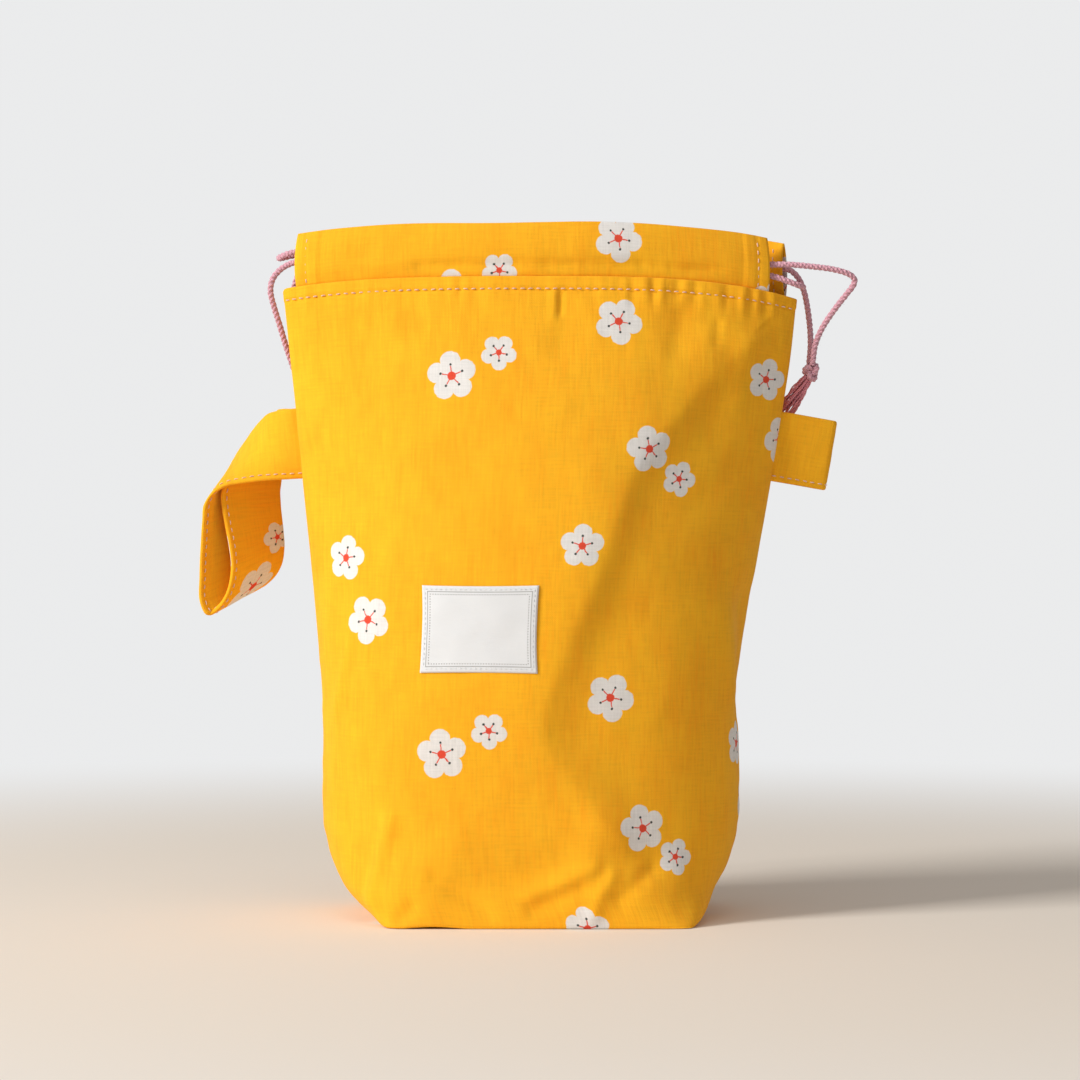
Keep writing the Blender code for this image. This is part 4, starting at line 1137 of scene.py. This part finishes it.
def ribbon_grid(edges, ways, seed, print_at):
    """A strap four cloths thick through places of (lower edge, width direction), closed all round."""
    ways = ways / np.linalg.norm(ways, axis=1, keepdims=True) * STRAP_WIDTH
    middles = edges + ways / 2
    tangents = np.gradient(middles, axis=0)
    tangents /= np.linalg.norm(tangents, axis=1, keepdims=True)
    normals = np.cross(tangents, ways)
    normals /= np.linalg.norm(normals, axis=1, keepdims=True)
    spread = 0.5 - 0.5 * np.cos(np.linspace(0, math.pi, 23))
    edge = 1 - np.abs(2 * spread - 1)
    body = (1 - (1 - np.clip(edge / 0.09, 0, 1)) ** 2.2) ** 0.5
    stitch = 1 - 0.30 * np.exp(-(((spread * STRAP_WIDTH - 0.0019) / 0.0007) ** 2))
    thickness = STRAP_THICKNESS / 2 * body * stitch
    way = along_run(middles)
    rows, places = [], []
    for sign, shares, half in ((1.0, spread, thickness), (-1.0, spread[::-1], thickness[::-1])):
        base = edges[:, None] + ways[:, None] * shares[None, :, None]
        a, s = np.broadcast_arrays(way[:, None], shares[None] * STRAP_WIDTH)
        bumps = wander(a, s, 0.007, seed + sign) * 0.00016 * np.minimum(body, 1.0)[None]
        rows.append(base + normals[:, None] * (sign * (half[None] + bumps))[..., None])
        places.append(np.stack([a + print_at[0], s + (0.006 if sign > 0 else print_at[1])], axis=-1))
    points = np.concatenate([rows[0], rows[1][:, 1:]], axis=1)
    place = np.concatenate([places[0], places[1][:, 1:]], axis=1)
    return points, place, middles, normals, ways


def end_caps(points):
    """Grids that close both ends of a ribbon."""
    made = []
    count = points.shape[1] // 2 + 1
    for row, flip in ((points[0], False), (points[-1], True)):
        front, rear = row[:count], row[count - 1 :][::-1]
        cap = np.stack([front, (front + rear) / 2, rear])
        cap = cap[::-1] if flip else cap
        made.append((cap, cap[..., :2].copy()))
    return made


def edge_line(edges, ways, inset):
    """A run this far in from a ribbon's lower edge."""
    return edges + ways / np.linalg.norm(ways, axis=1, keepdims=True) * inset


def build_strap():
    """The wrist loop, with the stitching along its open edge."""
    root, up, out = seam_frame(STRAP_HEIGHT, right=False)
    layer = np.array((0.0, (STRAP_THICKNESS + LAYER_GAP) / 2, 0.0))
    sunk = root - out * SEAM_BITE
    edges = [sunk - layer, root - layer] + [root + np.array(edge) for edge, _ in STRAP_RUN] + [root + layer, sunk + layer]
    ways = [up, up] + [np.array(way) for _, way in STRAP_RUN] + [up, up]
    edges, ways = smooth_points(edges, 9), smooth_points(ways, 9)
    points, places, middles, normals, _ = ribbon_grid(edges, ways, 3, (0.036, 0.109))
    strap = mesh_of("wrist_strap_cloth", [(points, places)] + end_caps(points), "printed_cotton")
    weld(strap)
    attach(strap, "root")
    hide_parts("wrist_strap")
    line = edge_line(edges, ways, 0.0019)
    build_stitches("strap_stitches", [(line + normals * 0.00068, normals), (line - normals * 0.00068, -normals)], strap)
    return strap


def build_tab():
    """The folded tab on the other seam, with the stitching along its lower edge."""
    root, up, out = seam_frame(TAB_HEIGHT, right=True)
    radius = (STRAP_THICKNESS + LAYER_GAP) / 2
    back = np.array((0.0, 1.0, 0.0))
    straight = TAB_LENGTH - radius - STRAP_THICKNESS / 2
    edges = [root - back * radius - out * SEAM_BITE]
    edges += [root - back * radius + out * straight * t for t in np.linspace(0, 1, 16)]
    edges += [root + out * (straight + radius * math.sin(t)) - back * radius * math.cos(t) for t in np.linspace(0, math.pi, 14)[1:-1]]
    edges += [root + back * radius + out * straight * t for t in np.linspace(1, 0, 16)]
    edges += [root + back * radius - out * SEAM_BITE]
    edges = np.array(edges)
    swing = np.clip((edges - root) @ out / TAB_LENGTH, 0, 1) ** 1.4 * TAB_SWING
    edges = edges + back * swing[:, None]
    ways = np.array([up] * len(edges))
    points, places, middles, normals, _ = ribbon_grid(edges, ways, 5, (0.060, 0.043))
    tab = mesh_of("side_tab_cloth", [(points, places)] + end_caps(points), "printed_cotton")
    weld(tab)
    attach(tab, "root")
    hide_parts("side_tab")
    line = edge_line(edges, ways, 0.0019)
    outer = line - normals * 0.00068 if (normals[2] @ (0, -1, 0)) < 0 else line + normals * 0.00068
    facing = -normals if (normals[2] @ (0, -1, 0)) < 0 else normals
    build_stitches("tab_stitches", [(outer, facing)], tab)
    return tab


def build_label():
    """The woven label, its cut edges turned under."""
    columns, rises = np.linspace(-0.5, 0.5, 97), np.linspace(-0.5, 0.5, 71)
    a, h = np.meshgrid(columns * LABEL_WIDTH, rises * LABEL_HEIGHT)
    front = cloth_grid(LABEL_Z + rises * LABEL_HEIGHT, LABEL_X + columns * LABEL_WIDTH, folded=True)
    normals = grid_normals(front)
    waist = LABEL_WAIST * (1 - (2 * h / LABEL_HEIGHT) ** 2) * -2 * a / LABEL_WIDTH
    front[..., 0] += waist + wander(h, 0 * a, 0.012, 63) * 0.00012
    front[..., 2] += LABEL_WAIST * 0.6 * (1 - (2 * a / LABEL_WIDTH) ** 2) * -2 * h / LABEL_HEIGHT
    border = np.minimum(LABEL_WIDTH / 2 - np.abs(a), LABEL_HEIGHT / 2 - np.abs(h))
    lift = 0.00015 + (LABEL_THICKNESS + LABEL_CLEARANCE - 0.00010) * smooth_step(border / 0.00035 + 0.15)
    lift = lift - 0.00010 * np.exp(-(((border - 0.0011) / 0.0004) ** 2)) + wander(a, h, 0.009, 61) * 0.00022 * smooth_step(border / 0.003)
    points = front + normals * lift[..., None]
    label = mesh_of("label_tape", [(points, np.stack([a, h], axis=-1))], "woven_label")
    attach(label, "root")
    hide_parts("label")
    inset = 0.0011
    corners = [(-1, -1), (1, -1), (1, 1), (-1, 1), (-1, -1)]
    run = np.array([(cx * (LABEL_WIDTH / 2 - inset), cy * (LABEL_HEIGHT / 2 - inset)) for cx, cy in corners])
    way = np.concatenate(([0.0], np.cumsum(np.linalg.norm(np.diff(run, axis=0), axis=1))))
    places = np.linspace(0, way[-1], 400)
    along, rise = np.interp(places, way, run[:, 0]), np.interp(places, way, run[:, 1])
    line, facing = [], []
    for u, v in zip(along, rise):
        i = (u / LABEL_WIDTH + 0.5) * (len(columns) - 1)
        j = (v / LABEL_HEIGHT + 0.5) * (len(rises) - 1)
        line.append(points[round(j), round(i)])
        facing.append(normals[round(j), round(i)])
    line, facing = smoothed(np.array(line), 3), np.array(facing)
    build_stitches("label_stitches", [(line, facing)], label, pitch=0.0017, radius=0.00013, finish_name="woven_label")
    return label


def smoothed(points, rounds):
    for _ in range(rounds):
        points[1:-1] = (points[:-2] + 2 * points[1:-1] + points[2:]) / 4
    return points


def build_stitches(name, lines, owner, pitch=None, radius=None, finish_name="sewing_thread"):
    """Top stitches along lines of (points, outward directions): each dips into the cloth at both ends."""
    thread = bpy.context.scene.pouch_thread
    pitch, radius = pitch or thread.pitch, radius or thread.radius
    dice = random.Random(name)
    grids = []
    for line, facing in lines:
        way = along_run(line)
        count = int((way[-1] - 0.001) / pitch)
        for k in range(count):
            start = (way[-1] - count * pitch) / 2 + k * pitch + dice.uniform(-0.04, 0.04) * pitch
            places = start + np.linspace(0, thread.share * pitch, 7)
            centres = np.stack([np.interp(places, way, line[:, i]) for i in range(3)], axis=1)
            out = np.stack([np.interp(places, way, facing[:, i]) for i in range(3)], axis=1)
            out /= np.linalg.norm(out, axis=1, keepdims=True)
            t = np.linspace(-1, 1, 7)
            rise = radius * 0.75 - radius * 1.9 * np.abs(t) ** 3
            slant = dice.uniform(-0.10, 0.16) * radius * 4
            side = np.cross(np.gradient(centres, axis=0), out)
            side /= np.linalg.norm(side, axis=1, keepdims=True)
            centres = centres + out * rise[:, None] + side * (t * slant)[:, None]
            grids.append(tube_grid(centres, side, out, tapered(7, radius, 0.18), 6))
    stitches = mesh_of(name, grids, finish_name)
    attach(stitches, "root")
    return stitches


def cloth_line(heights, along, back, lift, hem_from_rim=True):
    """A run on the outer bag and its outward directions."""
    step = 0.0006
    points, facing = [], []
    for height, place in zip(heights, along):
        patch = cloth_grid([height - step, height, height + step], [place - step, place, place + step], back, folded=True)
        normal = grid_normals(patch, flip=back)[1, 1]
        points.append(patch[1, 1] + normal * lift)
        facing.append(normal)
    return np.array(points), np.array(facing)


def build_bag_stitches(cloth):
    """The line of top stitches round the rim, and those at the channels' ends."""
    half = CUT_WIDTH / 2
    lines = []
    for back in (False, True):
        along = np.linspace(-half + 0.0012, half - 0.0012, 240)
        height = np.full(240, RIM_HEIGHT - cloth.hem)
        lines.append(cloth_line(height, along, back, 0.00004))
    build_stitches("rim_stitches", lines, None)
    lines = []
    for back, middle in ((False, FRONT_CHANNEL_X), (True, BACK_CHANNEL_X)):
        for side in (-1, 1):
            place = middle + side * (CHANNEL_LENGTH / 2 - 0.0041)
            slit = (CHANNEL_CLOTH + CHANNEL_SLIT) / 2
            for wall in (-1, 1):
                points = []
                for climb in np.linspace(0.02, 0.985, 40):
                    across = wall * (slit + CHANNEL_BULGE * math.sin(math.pi * climb) ** CHANNEL_FULLNESS)
                    points.append(channel_points(np.array([place]), back, across, climb * (CHANNEL_RISE - slit))[0])
                points = np.array(points)
                out = np.array((0.0, -wall if back else wall, 0.0))
                run = np.gradient(points, axis=0)
                run /= np.linalg.norm(run, axis=1, keepdims=True)
                facing = out - run * (run @ out)[:, None]
                facing /= np.linalg.norm(facing, axis=1, keepdims=True)
                lines.append((points + facing * (CHANNEL_CLOTH / 2 + 0.00002), facing))
    build_stitches("channel_stitches", lines, None)


# ---- cords ----


def strand_grids(path, diameter, twist, seed):
    """The three twisted strands of a cord along this path."""
    points, places = spaced_evenly(np.asarray(path), 0.00036)
    sides, ups = carried_frames(points)
    grids = []
    for k in range(3):
        angle = math.tau * (places / twist + k / 3)
        out = sides * np.cos(angle)[:, None] + ups * np.sin(angle)[:, None]
        across = -sides * np.sin(angle)[:, None] + ups * np.cos(angle)[:, None]
        uneven = 1 + 0.07 * np.array([noise.noise(Vector((s * 700, k * 9.0, seed))) for s in places])
        centres = points + out * (diameter * 0.215 * uneven)[:, None]
        grid, place = tube_grid(centres, out, across * 1.10, diameter * 0.280 * uneven, 8)
        place = np.array(place)
        place[..., 0] = (places + k * 0.013)[:, None]
        grids.append((grid, place))
    return grids


def knot_path(middle, size, height, turn):
    """An overhand knot drawn tight, in a plane that faces the front, with its ends up and down."""
    t = np.linspace(-0.15, math.tau - 0.55, 90)
    x = (np.sin(t) + 2 * np.sin(2 * t)) / 3
    z = (np.cos(t) - 2 * np.cos(2 * t)) / 3
    y = -np.sin(3 * t)
    c, s = math.cos(turn), math.sin(turn)
    flat = np.stack([(x * c - z * s) * size, y * size * 0.42, (x * s + z * c) * height], axis=1)
    return flat + np.array(middle)


def build_tassel(name, knot, way, node, seed, cord):
    """The cord's loose ends below the knot: yarns that part and curl."""
    way = np.array(way) / np.linalg.norm(way)
    side = np.cross(way, (0.0, 1.0, 0.0))
    side /= np.linalg.norm(side)
    up = np.cross(way, side)
    reach = 1 / math.sqrt((way[0] ** 2 + way[1] ** 2) / (KNOT_WIDTH / 2) ** 2 + way[2] ** 2 / (KNOT_HEIGHT / 2) ** 2)
    start = np.array(knot) + way * (reach - 0.0016)
    dice = random.Random(seed)
    grids = []
    for _ in range(cord.yarns):
        turn, share = dice.uniform(0, math.tau), math.sqrt(dice.random())
        length = TASSEL_LENGTH * dice.uniform(0.84, 1.08) + 0.0016
        bend = dice.uniform(-0.5, 0.5)
        t = np.linspace(0, 1, 15)
        spread = TASSEL_TOP_RADIUS * 0.62 + (TASSEL_END_RADIUS * 0.92 - TASSEL_TOP_RADIUS * 0.62) * np.sqrt(t)
        angle = turn + bend * t + 0.9 * t
        curl = 0.00022 * np.sin(t * dice.uniform(14, 22) + turn * 3)
        radius = spread * share + curl
        run = start + way * (t * length)[:, None] + side * (np.cos(angle) * radius)[:, None] + up * (np.sin(angle) * radius)[:, None]
        sides, ups = carried_frames(run)
        thick = 0.00026 * np.clip((1.02 - t) / 0.12, 0.12, 1.0) ** 0.5
        grids.append(tube_grid(run, sides, ups, thick, 5, start=dice.random()))
    # The tassels take the brightened yarn finish, painted light standing in for the shade they hang in.
    tassel = mesh_of(name, grids, "tassel_yarn_painted_light")
    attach(tassel, "root")
    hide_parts(node)
    return tassel


def build_cord(side, route, knot, way, cord):
    """A cord with its knot, tassel and stray fibres."""
    path = smooth_points(route, 12)
    first, last = path[0] - path[2], path[-1] - path[-3]
    first, last = (way * KNOT_REACH / np.linalg.norm(way) for way in (first, last))
    path = np.concatenate([[path[0] + first], path, [path[-1] + last]])
    path, _ = spaced_evenly(path, 0.0008)
    strands = mesh_of(f"drawcord_{side}_twist", strand_grids(path, cord.diameter, cord.twist, 1.7), "pink_cord")
    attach(strands, "root")
    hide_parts(f"drawcord_{side}")
    turn = 0.35 if side == "right" else -0.5
    loops = strand_grids(knot_path(knot, KNOT_WIDTH * 0.345, KNOT_HEIGHT * 0.355, turn), cord.diameter * 0.98, cord.twist * 0.8, 4.1)
    knotted = mesh_of(f"knot_{side}_twist", loops, "pink_cord")
    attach(knotted, "root")
    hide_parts(f"knot_{side}")
    tassel = build_tassel(f"tassel_{side}_yarns", knot, way, f"tassel_{side}", 11 if side == "right" else 12, cord)
    fuzz = build_hairs(f"drawcord_{side}_fuzz", path, cord, 5 if side == "right" else 6)


def build_hairs(name, path, cord, seed):
    """Stray fibres that stand off a cord."""
    points, _ = spaced_evenly(path, 0.0004)
    sides, ups = carried_frames(points)
    tangents = np.gradient(points, axis=0)
    tangents /= np.linalg.norm(tangents, axis=1, keepdims=True)
    dice = random.Random(seed)
    grids = []
    for _ in range(cord.hairs):
        i = dice.randrange(4, len(points) - 4)
        angle = dice.uniform(0, math.tau)
        out = sides[i] * math.cos(angle) + ups[i] * math.sin(angle)
        lean = tangents[i] * dice.uniform(-1.2, 1.2) + np.array([dice.uniform(-0.4, 0.4) for _ in range(3)])
        length = dice.uniform(0.0005, 0.0013)
        t = np.linspace(0, 1, 5)[:, None]
        run = points[i] + out * cord.diameter * 0.42 + out * length * t + lean * length * t**2 * 0.8
        hair_sides, hair_ups = carried_frames(run)
        grids.append(tube_grid(run, hair_sides, hair_ups, 0.000028 * (1.1 - t[:, 0]), 3))
    fuzz = mesh_of(name, grids, "pink_cord")
    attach(fuzz, "root")
    return fuzz


# ---- stage ----


def build_stage(stage):
    """Camera at the photograph's angle, a pale floor, and soft light from the left."""
    scene = bpy.context.scene
    scene.view_settings.view_transform = "Standard"
    camera = bpy.data.objects.new("camera", bpy.data.cameras.new("camera"))
    camera.data.lens = stage.lens
    camera.data.sensor_width = 36
    camera.location = (0, -stage.distance, stage.height)
    camera.rotation_euler = (math.pi / 2, 0, 0)
    scene.collection.objects.link(camera)
    scene.camera = camera

    world = bpy.data.worlds.new("studio")
    scene.world = world
    world.use_nodes = True
    room = Finish("studio", 1.0, tree=world.node_tree)
    lit = room.add("ShaderNodeBackground", {}, {"Color": (*stage.ambient, 1.0), "Strength": stage.fill})
    shown = room.add("ShaderNodeBackground", {}, {"Color": (*stage.backdrop, 1.0), "Strength": 1.0})
    mixed = room.add("ShaderNodeMixShader", {}, {0: room.seen(), 1: lit, 2: shown})
    room.tree.links.new(mixed.socket, room.tree.nodes["World Output"].inputs["Surface"])

    mesh = bpy.data.meshes.new("floor")
    reach, sink = 5.0, -0.0002
    mesh.from_pydata([(x * reach, y * reach, sink) for x, y in ((-1, -1), (1, -1), (1, 1), (-1, 1))], [], [(0, 1, 2, 3)])
    floor = bpy.data.objects.new("floor", mesh)
    paper = Finish("floor_paper", 0.9)
    paper.shader.inputs["Base Color"].default_value = (*stage.floor, 1.0)
    place = paper.add("ShaderNodeTexCoord", {}, {}, "Object")
    away = paper.add("ShaderNodeVectorMath", {"operation": "LENGTH"}, {0: place}, "Value")
    far = (away - stage.floor_radius - stage.floor_fade / 2).edge(stage.floor_fade)
    glow = paper.add("ShaderNodeEmission", {}, {"Color": (*stage.backdrop, 1.0), "Strength": 1.0})
    plain = Wire(paper, paper.shader.outputs["BSDF"])
    mixed = paper.add("ShaderNodeMixShader", {}, {0: far * far * (3 - 2 * far) * paper.seen(), 1: plain, 2: glow})
    paper.tree.links.new(mixed.socket, paper.tree.nodes["Material Output"].inputs["Surface"])
    mesh.materials.append(paper.material)
    scene.collection.objects.link(floor)

    for name, place, size, power, colour in (
        ("key", (-2.05, -1.09, 1.29), 0.75, stage.key, (1.0, 0.985, 0.955)),
        ("top", (-0.15, -0.45, 1.30), 0.9, stage.key * 0.028, (1.0, 0.99, 0.98)),
    ):
        lamp = bpy.data.objects.new(name, bpy.data.lights.new(name, "AREA"))
        lamp.data.size = size
        lamp.data.energy = power
        lamp.data.color = colour
        lamp.location = place
        aim = Vector((0, 0, 0.11)) - Vector(place)
        lamp.rotation_euler = aim.to_track_quat("-Z", "Y").to_euler()
        scene.collection.objects.link(lamp)


class POUCH_OT_stage(bpy.types.Operator):
    """Sets up the camera, the floor and the light"""

    bl_idname = "pouch.stage"
    bl_label = "Stage"

    def execute(self, context):
        build_stage(context.scene.pouch_stage)
        return {"FINISHED"}


class POUCH_OT_cords(bpy.types.Operator):
    """Twists both drawstring cords, with their knots and tassels"""

    bl_idname = "pouch.cords"
    bl_label = "Cords"

    def execute(self, context):
        build_cord("right", RIGHT_CORD_ROUTE, RIGHT_KNOT, RIGHT_TASSEL_WAY, context.scene.pouch_cord)
        build_cord("left", LEFT_CORD_ROUTE, LEFT_KNOT, LEFT_TASSEL_WAY, context.scene.pouch_cord)
        return {"FINISHED"}


class POUCH_OT_bag(bpy.types.Operator):
    """Makes the outer bag and its lining"""

    bl_idname = "pouch.bag"
    bl_label = "Bag and lining"

    def execute(self, context):
        build_outer_bag(context.scene.pouch_cloth)
        build_lining()
        return {"FINISHED"}


class POUCH_OT_channels(bpy.types.Operator):
    """Makes the two drawstring channels at the mouth"""

    bl_idname = "pouch.channels"
    bl_label = "Channels"

    def execute(self, context):
        build_channel("front_channel_cloth", "front_channel", FRONT_CHANNEL_X, False)
        build_channel("back_channel_cloth", "back_channel", BACK_CHANNEL_X, True)
        return {"FINISHED"}


class POUCH_OT_straps(bpy.types.Operator):
    """Makes the wrist strap and the side tab"""

    bl_idname = "pouch.straps"
    bl_label = "Strap and tab"

    def execute(self, context):
        build_strap()
        build_tab()
        return {"FINISHED"}


class POUCH_OT_label(bpy.types.Operator):
    """Sews on the woven label"""

    bl_idname = "pouch.label"
    bl_label = "Label"

    def execute(self, context):
        build_label()
        return {"FINISHED"}


class POUCH_OT_stitching(bpy.types.Operator):
    """Adds the top stitching at the rim and the channels' ends"""

    bl_idname = "pouch.stitching"
    bl_label = "Stitching"

    def execute(self, context):
        build_bag_stitches(context.scene.pouch_cloth)
        return {"FINISHED"}


class POUCH_PT_panel(bpy.types.Panel):
    """Lists the pouch's pieces and settings"""

    bl_idname = "POUCH_PT_panel"
    bl_label = "Drawstring pouch"
    bl_space_type = "VIEW_3D"
    bl_region_type = "UI"
    bl_category = "Pouch"

    def draw(self, context):
        for group in GROUPS:
            box = self.layout.box()
            settings = getattr(context.scene, group)
            for name in settings.bl_rna.properties.keys():
                if name not in ("rna_type", "name"):
                    box.prop(settings, name)
        for operator in OPERATORS:
            self.layout.operator(operator.bl_idname)


OPERATORS = (POUCH_OT_stage, POUCH_OT_cords, POUCH_OT_bag, POUCH_OT_channels, POUCH_OT_straps, POUCH_OT_label, POUCH_OT_stitching)
GROUPS = {
    "pouch_cloth": PouchCloth,
    "pouch_print": PouchPrint,
    "pouch_thread": PouchThread,
    "pouch_cord": PouchCord,
    "pouch_stage": PouchStage,
}


def register():
    for name, group in GROUPS.items():
        bpy.utils.register_class(group)
        setattr(bpy.types.Scene, name, PointerProperty(type=group))
    for operator in (*OPERATORS, POUCH_PT_panel):
        bpy.utils.register_class(operator)


def unregister():
    for operator in (POUCH_PT_panel, *reversed(OPERATORS)):
        bpy.utils.unregister_class(operator)
    for name, group in GROUPS.items():
        delattr(bpy.types.Scene, name)
        bpy.utils.unregister_class(group)


def main():
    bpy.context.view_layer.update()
    register()
    bpy.ops.pouch.stage()
    bpy.ops.pouch.cords()
    bpy.ops.pouch.bag()
    bpy.ops.pouch.channels()
    bpy.ops.pouch.straps()
    bpy.ops.pouch.label()
    bpy.ops.pouch.stitching()


if __name__ == "__main__":
    main()
